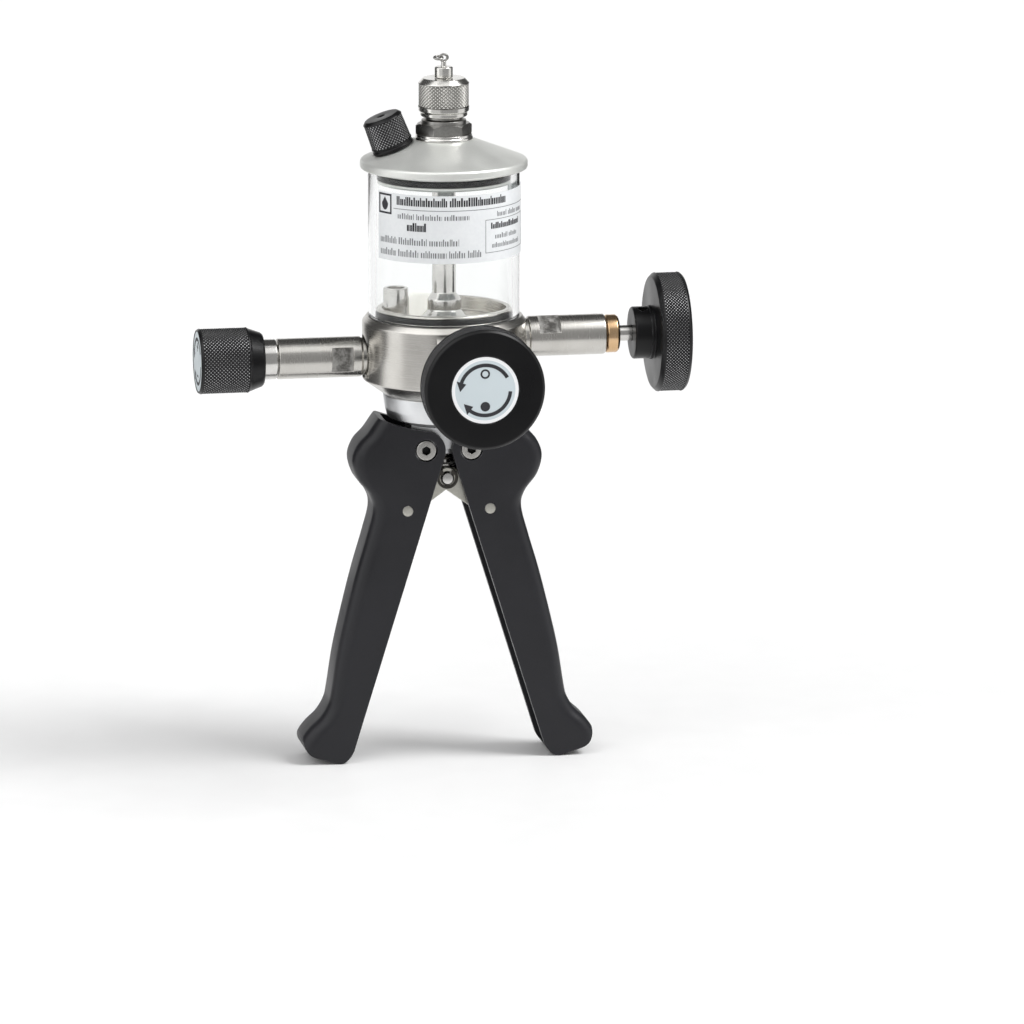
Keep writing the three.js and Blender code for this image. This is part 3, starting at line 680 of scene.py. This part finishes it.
LID = {"radius": 35.1, "bottom": 79.3, "shoulder": 82.2, "crown": 91.5, "crown_radius": 12.4}
SLOPE = math.degrees(math.atan2(
    LID["crown"] - LID["shoulder"] - 0.8, LID["radius"] - 0.6 - LID["crown_radius"],
))
FILLER = shifted(PUMP, -21.2, 0, 87.9) @ turn_about("Y", -SLOPE)


def reservoir_lid():
    lid = turned("lid_cone", [
        (0, 84.5), (9, 84.5), (25, 78.6), (25, 73.4), (28.2, 73.4), (28.2, 75.1), (26.9, 75.1), (26.9, 77.7),
        (28.2, 77.7), (28.2, LID["bottom"]), (34.6, LID["bottom"]), (LID["radius"], 79.9),
        (LID["radius"], LID["shoulder"]), (LID["radius"] - 0.6, LID["shoulder"] + 0.8),
        (LID["crown_radius"], LID["crown"]), (0, LID["crown"]),
    ], PUMP, ROUND, 0.8)
    carve(
        lid, rod(5.2, 80, 95, PUMP), rod(6.2, 88, 95, PUMP),
        rod(5.4, -14, 4, FILLER), rod(9.2, -0.2, 8, FILLER),
    )
    stand_for(soften(lid, 0.3), blasted, "aluminium", "reservoir_lid")


def filler_cap():
    cap = knurled(
        "knurled_filler_cap",
        [(0, -11), (4.9, -11), (5.1, -10.4), (5.1, 0.2), (8.65, 0.2), (8.9, 0.5), (8.9, 1.3), (8.45, 1.7),
         (8.45, 2.1), (8.88, 2.4)],
        [(8.5, 13.5), (7.3, 14.7), (1.6, 14.7), (1.3, 13.2), (0, 13.2)],
        36, 15, 0.42, FILLER, 0.25, worn_and_glinting_tip, knurl_black, flat=46,
    )
    stand_for(cap, knob_black, "knob", "filler_cap")


# ---- Printed labels ----

FILM = 31.9  # inner radius of the reservoir's label
VIEW_SIDE = -100  # direction from the pump's axis that the label's middle faces, in degrees


def curved_strip(bm, start, end, low, high, inner, outer):
    """A strip of film round the Z axis, between two angles in degrees and two heights."""
    steps = max(2, round(abs(end - start) / 2.5))
    rings = []
    for k in range(steps + 1):
        angle = math.radians(start + (end - start) * k / steps)
        c, s = math.cos(angle), math.sin(angle)
        rings.append([bm.verts.new((r * c, r * s, z)) for r, z in oblong(inner, outer, low, high)])
    skin(bm, rings)


def reservoir_label():
    low, high = span("reservoir_label")
    bm = bmesh.new()
    curved_strip(bm, -157, 10, low.z, high.z, FILM, FILM + 0.3)
    stand_for(new_object("tube_label", bm, PUMP), label_paper, "label", "reservoir_label")


def printed(bm, start, end, low, high):
    """A printed bar on the label, with its angles counted from the side that faces the viewer."""
    curved_strip(bm, VIEW_SIDE + start, VIEW_SIDE + end, low, high, FILM + 0.27, FILM + 0.35)


def printed_box(bm, start, end, low, high, width, height):
    """The outline of a box, with lines this wide at its sides and this high at its top and bottom."""
    for left in (start, end - width):
        printed(bm, left, left + width, low, high)
    for bottom in (low, high - height):
        printed(bm, start, end, bottom, bottom + height)


def dashes(bm, start, end, low, high, words, seed, weight=0.5):
    """A line of print as short bars in words, standing in for text."""
    chance = random.Random(seed)
    shares = [chance.uniform(0.7, 1.3) for _ in range(words)]
    gap = 1.6
    scale = (end - start - gap * (words - 1)) / sum(shares)
    at = start
    for share in shares:
        stop = at + share * scale
        while at < stop - 0.5:
            width = min(chance.uniform(1.1, 2.2), stop - at)
            rise = chance.choice((0.72, 0.72, 1.0))
            printed(bm, at, at + weight * width, low, low + (high - low) * rise)
            at += width
        at = stop + gap


def label_print():
    heavy = bmesh.new()
    dashes(heavy, -37, 54, 67.9, 71.6, 2, 3, 0.7)
    dashes(heavy, -28, -12, 57.3, 60.9, 1, 8, 0.75)
    dashes(heavy, 38, 74, 57.6, 60.2, 1, 12, 0.7)
    printed_box(heavy, -56, -42, 63.5, 72, 1.4, 0.8)
    rows, bottom, height, middle, width = 14, 65.1, 5.4, -49, 3.4  # an oil drop, printed in rows
    for row in range(rows):
        t = (row + 0.5) / rows
        half = width * (math.sqrt(1 - (1.9 * t - 1) ** 2) if t < 0.53 else 0.98 * (1 - t) / 0.47)
        low = bottom + height * row / rows
        printed(heavy, middle - half, middle + half, low, low + height / rows + 0.02)
    stand_for(new_object("label_heavy_print", heavy, PUMP), label_ink, "label", body="pump_body")
    fine = bmesh.new()
    printed(fine, -40, 86, 66.1, 66.35)
    dashes(fine, -36, 20, 62.2, 64.6, 3, 21)
    dashes(fine, 44, 80, 62.6, 64.8, 3, 23)
    dashes(fine, -54, 12, 51.4, 54.3, 3, 25)
    dashes(fine, -54, 30, 46.3, 49.3, 5, 27)
    dashes(fine, 42, 70, 53.3, 55.4, 2, 29)
    dashes(fine, 39, 74, 49.6, 51.7, 1, 31)
    printed_box(fine, 33, 84, 47.6, 61.62, 0.4, 0.22)
    stand_for(new_object("label_fine_print", fine, PUMP), faint_ink, "label", body="pump_body")


def dial(prefix, face, place, body, size=1.0, plus_minus=False):
    """A round label with an arrow each way round, an open ring for open and a dot for closed, or plus and
    minus. Its size is a share of a knob's label."""
    paper = turned(f"{prefix}_dial", oblong(0, DIAL * size, face, face + 0.2), place, SMALL, 0.06)
    stand_for(paper, dial_face, "label", body=body)
    inner, outer = 9.7, 11.2
    middle = (inner + outer) / 2
    bm = bmesh.new()
    low, high = face + 0.18, face + 0.26

    def flat(outline):
        extrude(bm, [(x * size, y * size) for x, y in outline], low, high)

    def bar(x, y, half_width, half_height):
        flat([
            (x - half_width, y - half_height), (x + half_width, y - half_height),
            (x + half_width, y + half_height), (x - half_width, y + half_height),
        ])

    for start, end, tip in ((29, 161, 182), (-4, -127, -149)):
        flat(arc(outer, start, end) + arc(inner, end, start))
        point = arc(middle, tip, tip, steps=2)[0]
        wings = [arc(middle + side * 2.1, end, end, steps=2)[0] for side in (1, -1)]
        flat([wings[0], point, wings[1]])
    mark, half, thick = 6.8, 2, 0.42
    if plus_minus:
        arm = (half - thick) / 2
        bar(0, mark, half, thick)
        for side in (1, -1):
            bar(0, mark + side * (thick + arm), thick, arm)
        bar(0, -mark, half, thick)
    else:
        flat(arc(half, 0, 358, 0, mark, 40) + arc(half - 0.75, 358, 0, 0, mark, 40))
        flat(arc(half, 0, 351, 0, -mark, 40))
    stand_for(new_object(f"{prefix}_dial_print", bm, place), label_ink, "label", body=body)


# ---- Outlet and its dust cap ----

def outlet():
    bottom, top = 93.8, 98.2
    corner = 20.6 / math.sqrt(3)
    washer = turned("hex_washer", [
        (6.1, 91.55), (12.2, 91.55), (12.2, 92.4), (11.8, 92.8), (11.8, 93.75), (6.1, 93.75),
    ], PUMP, SMALL, 0.2)
    stand_for(washer, nickel, "bright", "outlet_washer")
    hexagon = prism("hex_fitting", arc(corner, -60, 240, steps=6), bottom, top, PUMP)
    cone = sharp_turned([
        (0, 92), (corner - 0.5, 92), (corner + 0.1, bottom + 0.8), (corner + 0.1, top - 1),
        (corner - 1.3, top + 0.1), (0, top + 0.1),
    ], PUMP, ROUND)
    carve(hexagon, cone, operation="INTERSECT")
    spigot = turned("spigot", [
        (0, 88.2), (5.9, 88.2), (5.9, 95), (9.4, 97), (9.4, 99.6), (7.9, 100.2), (7.9, 111.4), (7.3, 112),
        (0, 112),
    ], PUMP, SMALL, 0.2)
    carve(hexagon, spigot, operation="UNION")
    carve(hexagon, rod(2, 85, 115, PUMP))
    stand_for(soften(hexagon, 0.22), dark_nickel, "steel", "outlet_fitting")


def chain_ring(name, node, x, lean):
    """An oval ring of round wire, longer along X."""
    radius, wire, stretch, around = 1.36, 0.48, 1.2, 40
    bm = bmesh.new()
    skin(bm, [
        wire_section(bm, Vector((stretch * math.cos(a), math.sin(a), 0)), radius, 0, wire, 14)
        for a in (2 * math.pi * i / around for i in range(around))
    ], joined=True)
    place = shifted(PUMP, x, 0, 125.6) @ turn_about("X", lean)
    stand_for(new_object(name, bm, place), dark_nickel, "bright", node)


def dust_cap():
    # painted highlight and shade: the knurl's tips take a paler nickel and its flanks a much darker one
    cap = knurled(
        "knurled_dust_cap",
        [(0, 112.9), (8.1, 112.9), (8.1, 101.2), (9.6, 101.2), (9.9, 101.5), (9.9, 102.8), (10.6, 103.5),
         (10.65, 105.1)],
        [(10.65, 115.2), (8.8, 117.2), (2.7, 117.2), (2.7, 114.6), (0, 114.6)],
        38, 14, 0.42, PUMP, 0.25, nickel_tip_painted_highlight, nickel_flank_painted_shade, flat=44,
    )
    stand_for(cap, nickel, "bright", "dust_cap")
    post = turned("cap_swivel", [
        (0, 112.95), (4.7, 112.95), (4.7, 114.3), (2.5, 114.3), (2.5, 117.4), (3.8, 117.4), (3.8, 121.6),
        (3.4, 121.9), (1.1, 121.9), (1, 124.1), (0, 124.1),
    ], PUMP, SMALL, 0.2)
    stand_for(post, nickel, "bright", "dust_cap_post")
    chain_ring("chain_ring_1", "chain_eye", 0, 90)
    chain_ring("chain_ring_2", "chain_link", -2.2, 20)


# ---- Valves and fine adjuster, drawn about Z with heights counted from the pump's axis ----

def flat_cutters(place, turn):
    return [
        prism("flat", [(FLAT, -12), (FLAT + 10, -12), (FLAT + 10, 12), (FLAT, 12)], FLAT_FROM, FLAT_TO,
              place @ turn_about("Z", turn + half))
        for half in (0, 180)
    ]


def valve_barrel(name, node, place, turn, profile, bore):
    """An arm of the pump, bored out, with a milled finish on its two wrench flats."""
    barrel = turned(name, profile, place, SMALL, 0.35)
    carve(barrel, sharp_turned(bore, place), *flat_cutters(place, turn))
    facing = Vector((math.cos(math.radians(turn)), math.sin(math.radians(turn)), 0))

    def is_flat(face):
        middle = face.center / MM
        square = abs(face.normal.dot(facing)) > 0.999
        return square and FLAT_FROM < middle.z < FLAT_TO and abs(middle.dot(facing)) < FLAT + 0.05

    two_finishes(barrel, stainless, milled, is_flat)
    stand_for(soften(barrel, 0.2), stainless, "steel", node)


def knob(prefix, place, screw_turn):
    rim = 25.1
    solid = knurled(
        f"{prefix}_knurled_knob",
        [(0, 94.2), (3.45, 94.2), (3.45, 80), (10.5, 80), (11, 80.5), (11, 87), (11.4, 87.1), (11.4, 88.6),
         (rim - 1.6, 88.6), (rim, 90.2)],
        [(rim, 100.6), (rim - 1.2, 101.8), (14.2, 101.8), (14.2, 101.4), (0, 101.4)],
        108, 15, 0.45, place, 0.4, worn_and_glinting_tip, knurl_black,
    )
    across = shifted(place, 0, 0, 84.2) @ turn_about("Z", screw_turn) @ turn_about("Y", 90)
    carve(solid, rod(2.1, 3, 12, across, 32))
    stand_for(solid, knob_black, "knob", f"{prefix}_valve_knob")
    screw = rod(1.95, 3.6, 10, across, 40)
    screw.name = f"{prefix}_grub_screw"
    carve(screw, prism("socket", arc(1, 0, 300, steps=6), 8, 11, across))
    stand_for(soften(screw, 0.12), spring_steel, "spring_steel", f"{prefix}_knob_screw")


def valve(prefix, place, flats_turn, screw_turn, dial_turn):
    valve_barrel(f"{prefix}_valve_barrel", f"{prefix}_valve_body", place, flats_turn, [
        (0, 24.1), (7, 24.1), (7, 33.6), (7.6, 33.6), (7.6, 35.4), (8.1, 35.4), (ARM, 35.9),
        (ARM, 67.7), (7.9, 68.3), (0, 68.3),
    ], [(0, 20), (3.6, 20), (3.6, 57.9), (5.6, 57.9), (5.6, 70), (0, 70)])
    gland = turned(f"{prefix}_gland_ring", [
        (3.5, 62.2), (5.4, 62.2), (5.4, 68.7), (7.6, 68.7), (8, 69.1), (8, 73), (7.2, 74), (3.5, 74),
    ], place)
    stand_for(gland, brass, "brass", f"{prefix}_gland_nut")
    stem = turned(f"{prefix}_stem_rod", [
        (0, 39.9), (2.9, 39.9), (3.3, 40.4), (3.3, 93.6), (2.9, 94), (0, 94),
    ], place, SMALL, 0.2)
    stand_for(stem, polished, "bright", f"{prefix}_valve_stem")
    knob(prefix, place, screw_turn)
    dial(prefix, 101.42, place @ turn_about("Z", dial_turn), body_of[f"{prefix}_valve_knob"])


def fine_adjuster():
    valve_barrel("fine_barrel", "fine_adjust_barrel", LEFT, 90, [
        (0, 24.1), (7, 24.1), (7, 33.6), (7.9, 33.6), (7.9, 35.4), (ARM, 36), (ARM, 70.7), (8.2, 71), (0, 71),
    ], [(0, 20), (1.6, 20), (1.6, 30), (5, 30), (5, 67), (6.2, 67), (6.2, 75), (0, 75)])
    guide = turned("fine_guide_sleeve", [
        (3.25, 67.1), (6, 67.1), (6, 71.6), (8.2, 71.6), (8.45, 71.9), (8.45, 87.6), (8, 88), (3.25, 88),
    ], LEFT)
    stand_for(guide, polished, "steel", "fine_adjust_guide")
    thimble = knurled(
        "knurled_thimble",
        [(0, 101.1), (3.1, 101.1), (3.1, 98), (8.8, 98), (8.8, 77.1), (10.7, 77.1), (11.4, 77.9),
         (13.2, 82.9), (13.75, 83.7)],
        [(13.75, 103.7), (13.2, 104.6), (12.75, 104.6), (12.75, 104.2), (0, 104.2)],
        54, 26, 0.45, LEFT, 0.25, worn_and_glinting_tip, knurl_black,
    )
    stand_for(thimble, knob_black, "knob", "fine_adjust_thimble")
    dial("thimble", 104.22, LEFT @ turn_about("Z", -90), body_of["fine_adjust_thimble"], 0.9, True)


# ---- Handles, drawn upright about their pivot: X outwards, Y up, Z towards the viewer ----

HALF_DEPTH = 12.5
WALL = 3
INNER, TOP, BOTTOM = -8.2, 8.2, -138.7  # the grip's open side, and its ends above and below the pivot
OUTER_EDGE = [
    (13, 20), (21.5, 9.8), (25.2, 0), (28, -6), (28.2, -13), (24, -19.8), (17, -25), (13.4, -31),
    (12.7, -43), (12.5, -58), (11.6, -76), (10.2, -94), (7.9, -110), (7.5, -116), (9, -122),
    (12.3, -128), (14, -134), (14, -144),
]  # it swells at the shoulder, narrows at the waist and kicks out at the toe


def smooth_curve(points, per_span):
    """Points along a Catmull-Rom curve."""
    knots = [Vector(p) for p in [points[0], *points, points[-1]]]
    result = []
    for a, b, c, d in zip(knots, knots[1:], knots[2:], knots[3:]):
        for k in range(per_span):
            t = k / per_span
            result.append(0.5 * (
                2 * b + (c - a) * t + (2 * a - 5 * b + 4 * c - d) * t ** 2
                + (3 * b - a - 3 * c + d) * t ** 3
            ))
    return result + [knots[-1]]


def edge_bar(name, place, inset, half_depth, radius, inner, lowest=-200.0):
    """A bar under the outer edge, open towards the pump, with its two outer corners rounded."""
    bm = bmesh.new()
    loops = []
    for x, y in smooth_curve(OUTER_EDGE, 7):
        if y <= lowest:
            continue
        corner, side = x - inset - radius, half_depth - radius
        section = [
            (inner, -half_depth), *arc(radius, -90, 0, corner, -side, 9),
            *arc(radius, 0, 90, corner, side, 9), (inner, half_depth),
        ]
        loops.append([bm.verts.new((u, y, v)) for u, v in section])
    skin(bm, loops)
    return new_object(name, bm, place)


def grip_outline():
    """The grip from the front, generous on its outer side, which the edge bar decides."""
    return [
        *arc(TOP, 180, 90), *quadratic((0, TOP), (15, 6.4), (21, 7.4)), (40, 7.4), (40, -60), (15, -124),
        *quadratic((15, -124), (14.6, BOTTOM + 6), (12, BOTTOM + 2.6)),
        *quadratic((12, BOTTOM + 2.6), (10, BOTTOM), (6, BOTTOM)), (INNER + 5, BOTTOM),
        *quadratic((INNER + 5, BOTTOM), (INNER + 1, BOTTOM + 0.6), (INNER, BOTTOM + 7)),
    ]


def mirror(piece):
    """Turns a piece drawn for the right-hand side into one for the left."""
    piece.data.transform(Matrix.Scale(-1, 4, (1, 0, 0)))
    piece.data.flip_normals()


def straighten(piece):
    """Moves the piece's turn from its matrix into its mesh, so that its box is no larger than it is."""
    place = piece.matrix_world.copy()
    piece.data.transform(place.to_3x3().to_4x4())
    piece.matrix_world = Matrix.Translation(place.translation)


def handle(side, sign):
    pivot = centre(f"{side}_pivot_screw")
    pivot.y = axis_line.y
    upright = Matrix.Translation(pivot) @ turn_about("X", 90)
    swung = upright @ turn_about("Z", sign * TILT)
    at_pin = shifted(swung, 0, -(centre(f"{side}_link_pin") - pivot).length / MM)

    grip = edge_bar(f"{side}_grip", swung, 0, HALF_DEPTH, 6, INNER - 1)
    outline = prism("outline", grip_outline(), -HALF_DEPTH - 1, HALF_DEPTH + 1, swung)
    carve(grip, outline, operation="INTERSECT")
    pocket = edge_bar("pocket", swung, WALL, HALF_DEPTH - WALL, 3, INNER - 2, BOTTOM + WALL)
    carve(grip, pocket, rod(4.75, -20, 20, swung), rod(2.3, -20, 20, at_pin))
    if sign < 0:
        mirror(grip)
    straighten(grip)
    stand_for(soften(grip, 0.75, 3, math.radians(40)), grip_black, "grip", f"{side}_handle_grip")

    pin = turned(f"{side}_toggle_pin", oblong(0, 2.25, -HALF_DEPTH, HALF_DEPTH), at_pin, 48)
    stand_for(pin, zinc, "bright", f"{side}_link_pin")

    screw = turned(f"{side}_pivot_bolt", [
        (0, -12), (2.5, -12), (2.5, 9.25), (4.35, 9.25), (4.35, 12), (3.95, 12.4), (0, 12.4),
    ], upright)
    carve(screw, prism("socket", arc(2.02, 30, 330, steps=6), 9.6, 14, upright))

    def in_socket(face):
        middle = face.center / MM
        return middle.xy.length < 2.1 and 0 < middle.z < 12.3

    two_finishes(screw, bolt_steel, socket_dark, in_socket)
    stand_for(soften(screw, 0.15), bolt_steel, "steel", f"{side}_pivot_screw")
    nut = turned(f"{side}_pivot_collar", [
        (2.6, -12.5), (3.95, -12.5), (4.35, -12.1), (4.35, -9.25), (2.6, -9.25),
    ], upright)
    stand_for(nut, bolt_steel, "steel", f"{side}_pivot_nut")

    for end in ("front", "rear"):
        link(f"{side}_link_{end}", centre(f"{side}_link_pin"))


def link(node, pin):
    """A flat bar from a handle's pin to the crosshead pin, rounded at both ends."""
    low, high = span(node)
    a, b = in_pump(pin), in_pump(centre("crosshead_pin"))
    along = math.degrees(math.atan2(b.z - a.z, b.x - a.x))
    half_width = 4.4
    outline = [
        *arc(half_width, along + 90, along + 270, a.x, a.z),
        *arc(half_width, along - 90, along + 90, b.x, b.z),
    ]
    bar = prism(f"{node}_plate", outline, -high.y, -low.y, FACING)
    carve(bar, *(rod(radius, -20, 20, shifted(FACING, p.x, p.z)) for p, radius in ((a, 2.4), (b, 2.82))))
    stand_for(soften(bar, 0.3), zinc, "steel", node)


# ---- Plunger, its pin and its spring ----

def clip_outline():
    """An E-shaped clip, open at the top: a ring with three tabs that grip the pin."""
    outer, inner, grip = 4.5, 3.35, 2.42
    inside = [
        *arc(grip, 412, 396, steps=5), *arc(inner, 386, 290, steps=16), *arc(grip, 281, 259, steps=6),
        *arc(inner, 250, 154, steps=16), *arc(grip, 144, 128, steps=5),
    ]
    return arc(outer, 118, 422, steps=60) + inside


def plunger():
    cross = in_pump(centre("crosshead_pin"))
    height = cross.z
    radius, top = 3.175, height + 5.6
    ram = turned("plunger_ram", [
        (0, height), (radius, height), (radius, top - 1.1), (5.4, top - 1.1), (5.4, top), (radius, top),
        (radius, -12.5), (radius - 0.5, -12), (0, -12),
    ], PUMP, SMALL, 0.2)
    at_pin = shifted(FACING, cross.x, height)
    carve(ram, rod(4.3, -3, 3, at_pin), operation="UNION")
    carve(ram, rod(2.37, -10, 10, at_pin))
    stand_for(soften(ram, 0.2), polished, "bright", "plunger")
    pin = turned("crosshead_axle", oblong(0, 2.32, -9.3, 9.3), at_pin, 48)
    stand_for(pin, polished, "bright", "crosshead_pin")
    for end in ("front", "rear"):
        low, high = span(f"crosshead_clip_{end}")
        clip = prism(f"{end}_circlip", clip_outline(), -high.y, -low.y, at_pin)
        stand_for(soften(clip, 0.12), spring_steel, "spring_steel", f"crosshead_clip_{end}")


def coil_spring(name, radius, wire, coils, low, high):
    """A coil of round wire between two heights."""
    bm = bmesh.new()
    per_turn = 40
    steps = per_turn * coils
    rings = []
    for t in (k / steps for k in range(steps + 1)):
        a = 2 * math.pi * coils * t
        height = low + wire + (high - low - 2 * wire) * t
        rings.append(wire_section(bm, Vector((math.cos(a), math.sin(a), 0)), radius, height, wire, 12))
    skin(bm, rings)
    return new_object(name, bm, PUMP)


def squashed_spring(name, node, radius, wire, coils):
    """A coil spring that fills a node's box and stays with the pump's body, with a mesh of its own."""
    low, high = span(node)
    spring = coil_spring(name, radius, wire, coils, low.z, high.z)
    stand_for(spring, spring_steel, "spring_steel", node, body="pump_body")
    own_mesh(spring)


# ---- CAD pieces that keep their own shape, mostly inside the pump ----

def finish_cad_nodes():
    kept = {
        bronze: ["plunger_bush"],
        stainless: ["fine_adjust_spindle"],
        ptfe: ["right_valve_packing", "front_valve_packing"],
        rubber: ["plunger_seal", "filler_cap_seal", "fine_piston_seal"],
        polished: [
            "inlet_check_ball", "outlet_check_ball", "right_valve_needle", "front_valve_needle",
            "fine_adjust_piston",
        ],
    }
    for material, nodes in kept.items():
        for node in nodes:
            mesh = frame["nodes"][node].data
            mesh.materials.clear()
            mesh.materials.append(material)


# ---- Studio ----

STUDIO = {"ambient": 0.08, "white": 1.0, "fill": 0.5, "near": 0.4}


def surroundings(tree, direction):
    """How bright the studio looks in a mirror, towards a direction from the pump.

    Each panel is given by the angle that it centres on, half its width and its soft edge, in degrees, then
    by its brightness and by what it is dimmed with."""
    x, y, z = tree.axes(direction)
    forward = tree.math("MULTIPLY", y, -1)
    pitch = tree.math("ARCTAN2", z, forward)  # 0 faces the viewer, positive upwards
    heading = tree.math("ARCTAN2", x, forward)  # positive to the viewer's right

    def panel(value, middle, half, soft, brightness=1.0, within=1.0):
        away = tree.math("ABSOLUTE", tree.math("SUBTRACT", value, math.radians(middle)))
        near = tree.math("SUBTRACT", math.radians(half + soft), away)
        edged = tree.math("DIVIDE", near, math.radians(soft), clamp=True)
        return tree.math("MULTIPLY", edged, within, brightness)

    side = tree.math("ABSOLUTE", x)
    central = tree.math("DIVIDE", tree.math("SUBTRACT", 0.95, side), 0.25, clamp=True)
    overhead = panel(pitch, 62, 14, 8, 1.05, central)
    below = panel(pitch, -66, 26, 6, 0.9, central)
    front = panel(pitch, 5, 34, 8, 0.3)
    left = panel(heading, -86, 15, 8, 1.25)
    near_left = panel(heading, -48, 22, 10, 0.62)
    right = panel(heading, 80, 17, 10, 0.85)
    back_wall = panel(tree.math("ABSOLUTE", heading), 180, 18, 12)
    behind = panel(tree.math("ABSOLUTE", pitch), 180, 16, 8, 0.95, back_wall)
    brightest = tree.math("MAXIMUM", overhead, below, front, behind, left, right, near_left)
    return tree.math("ADD", brightest, STUDIO["ambient"])


def unseen(tree, kind):
    """Whether a ray is of this kind, and is neither from the camera nor through the clear plastic."""
    rays = tree.node("ShaderNodeLightPath").outputs
    seen = tree.math("MAXIMUM", rays["Is Camera Ray"], rays["Is Transmission Ray"])
    return tree.math("MULTIPLY", rays[kind], tree.math("SUBTRACT", 1, seen))


def studio_world():
    """White for the camera, even light for matt pieces, and the surroundings for metal to reflect."""
    world = bpy.data.worlds.new("studio")
    bpy.context.scene.world = world
    world.use_nodes = True
    tree = Tree(world.node_tree)
    background = tree.tree.nodes["Background"]
    light = surroundings(tree, tree.node("ShaderNodeTexCoord").outputs["Generated"])
    glossy = unseen(tree, "Is Glossy Ray")
    diffuse = unseen(tree, "Is Diffuse Ray")
    shown = tree.math("SUBTRACT", 1, glossy, diffuse)
    strength = tree.math(
        "ADD", tree.math("MULTIPLY", glossy, light), tree.math("MULTIPLY", shown, STUDIO["white"]),
        tree.math("MULTIPLY", diffuse, STUDIO["fill"]),
    )
    tree.link(strength, background.inputs["Strength"])
    background.inputs["Color"].default_value = (1, 1, 1, 1)


def floor_material():
    """Pale and matt, and as bright as the studio around it where metal reflects its far parts."""
    material = soft_material("pale_floor", (0.94, 0.94, 0.94), (0.965, 0.965, 0.965), 0.6, 40, 0.02)
    tree = Tree(material.node_tree)
    position = tree.node("ShaderNodeNewGeometry").outputs["Position"]
    x, y, _ = tree.axes(position)
    direction = tree.node("ShaderNodeVectorMath", operation="SUBTRACT")
    tree.link(position, direction.inputs[0])
    direction.inputs[1].default_value = PUMP.translation
    glow = tree.node("ShaderNodeEmission")
    tree.link(surroundings(tree, direction.outputs[0]), glow.inputs["Strength"])
    beyond = tree.math("SUBTRACT", tree.length(x, y), STUDIO["near"])
    far = tree.math("DIVIDE", beyond, 0.15, clamp=True)
    matt = tree.tree.nodes["Principled BSDF"]
    tree.show(tree.math("MULTIPLY", far, unseen(tree, "Is Glossy Ray")), matt.outputs[0], glow.outputs[0])
    return material


def sun_light(name, direction, strength, width):
    """A soft light from far away, whose width is the angle that it fills, in degrees."""
    data = bpy.data.lights.new(name, "SUN")
    data.energy = strength
    data.angle = math.radians(width)
    lamp = add_object(name, data)
    lamp.rotation_euler = Vector(direction).to_track_quat("Z", "Y").to_euler()


def studio():
    floor_mesh = bpy.data.meshes.new("floor")
    reach = 30.0  # metres to each side
    corners = [(-reach, -reach, 0), (reach, -reach, 0), (reach, reach, 0), (-reach, reach, 0)]
    floor_mesh.from_pydata(corners, [], [(0, 1, 2, 3)])
    floor_mesh.materials.append(floor_material())
    add_object("floor", floor_mesh)
    studio_world()
    sun_light("key", (0.7, -0.3, 1.0), 2.05, 30)
    sun_light("fill", (-0.9, -0.8, 0.9), 0.6, 60)


def camera():
    """The viewpoint: a long lens a little to the left of the pump's front and above it."""
    azimuth, elevation, distance = math.radians(-9.97), math.radians(11.98), 3.892
    target = shifted(PUMP, 28.95, 0, -69.14).translation
    level = math.cos(elevation)
    back = Vector((math.sin(azimuth) * level, -math.cos(azimuth) * level, math.sin(elevation)))
    data = bpy.data.cameras.new("camera")
    data.lens = 324.4
    data.sensor_width = 36
    data.clip_end = 100
    eye = add_object("camera", data)
    eye.location = target + back * distance
    eye.rotation_euler = (-back).to_track_quat("-Z", "Y").to_euler()
    bpy.context.scene.camera = eye


# ---- The pump ----

manifold_block()
lower_housing()
reservoir()
reservoir_lid()
filler_cap()
reservoir_label()
label_print()
outlet()
dust_cap()
valve("right", RIGHT, -145, -166, 90)
valve("front", FRONT, 90, 0, 0)
fine_adjuster()
handle("right", 1)
handle("left", -1)
plunger()
squashed_spring("plunger_spring", "return_spring", 4.85, 0.65, 8)
squashed_spring("outlet_valve_spring", "outlet_check_spring", 2.1, 0.35, 3)
finish_cad_nodes()
studio()
camera()
bpy.context.scene.view_settings.view_transform = "Standard"
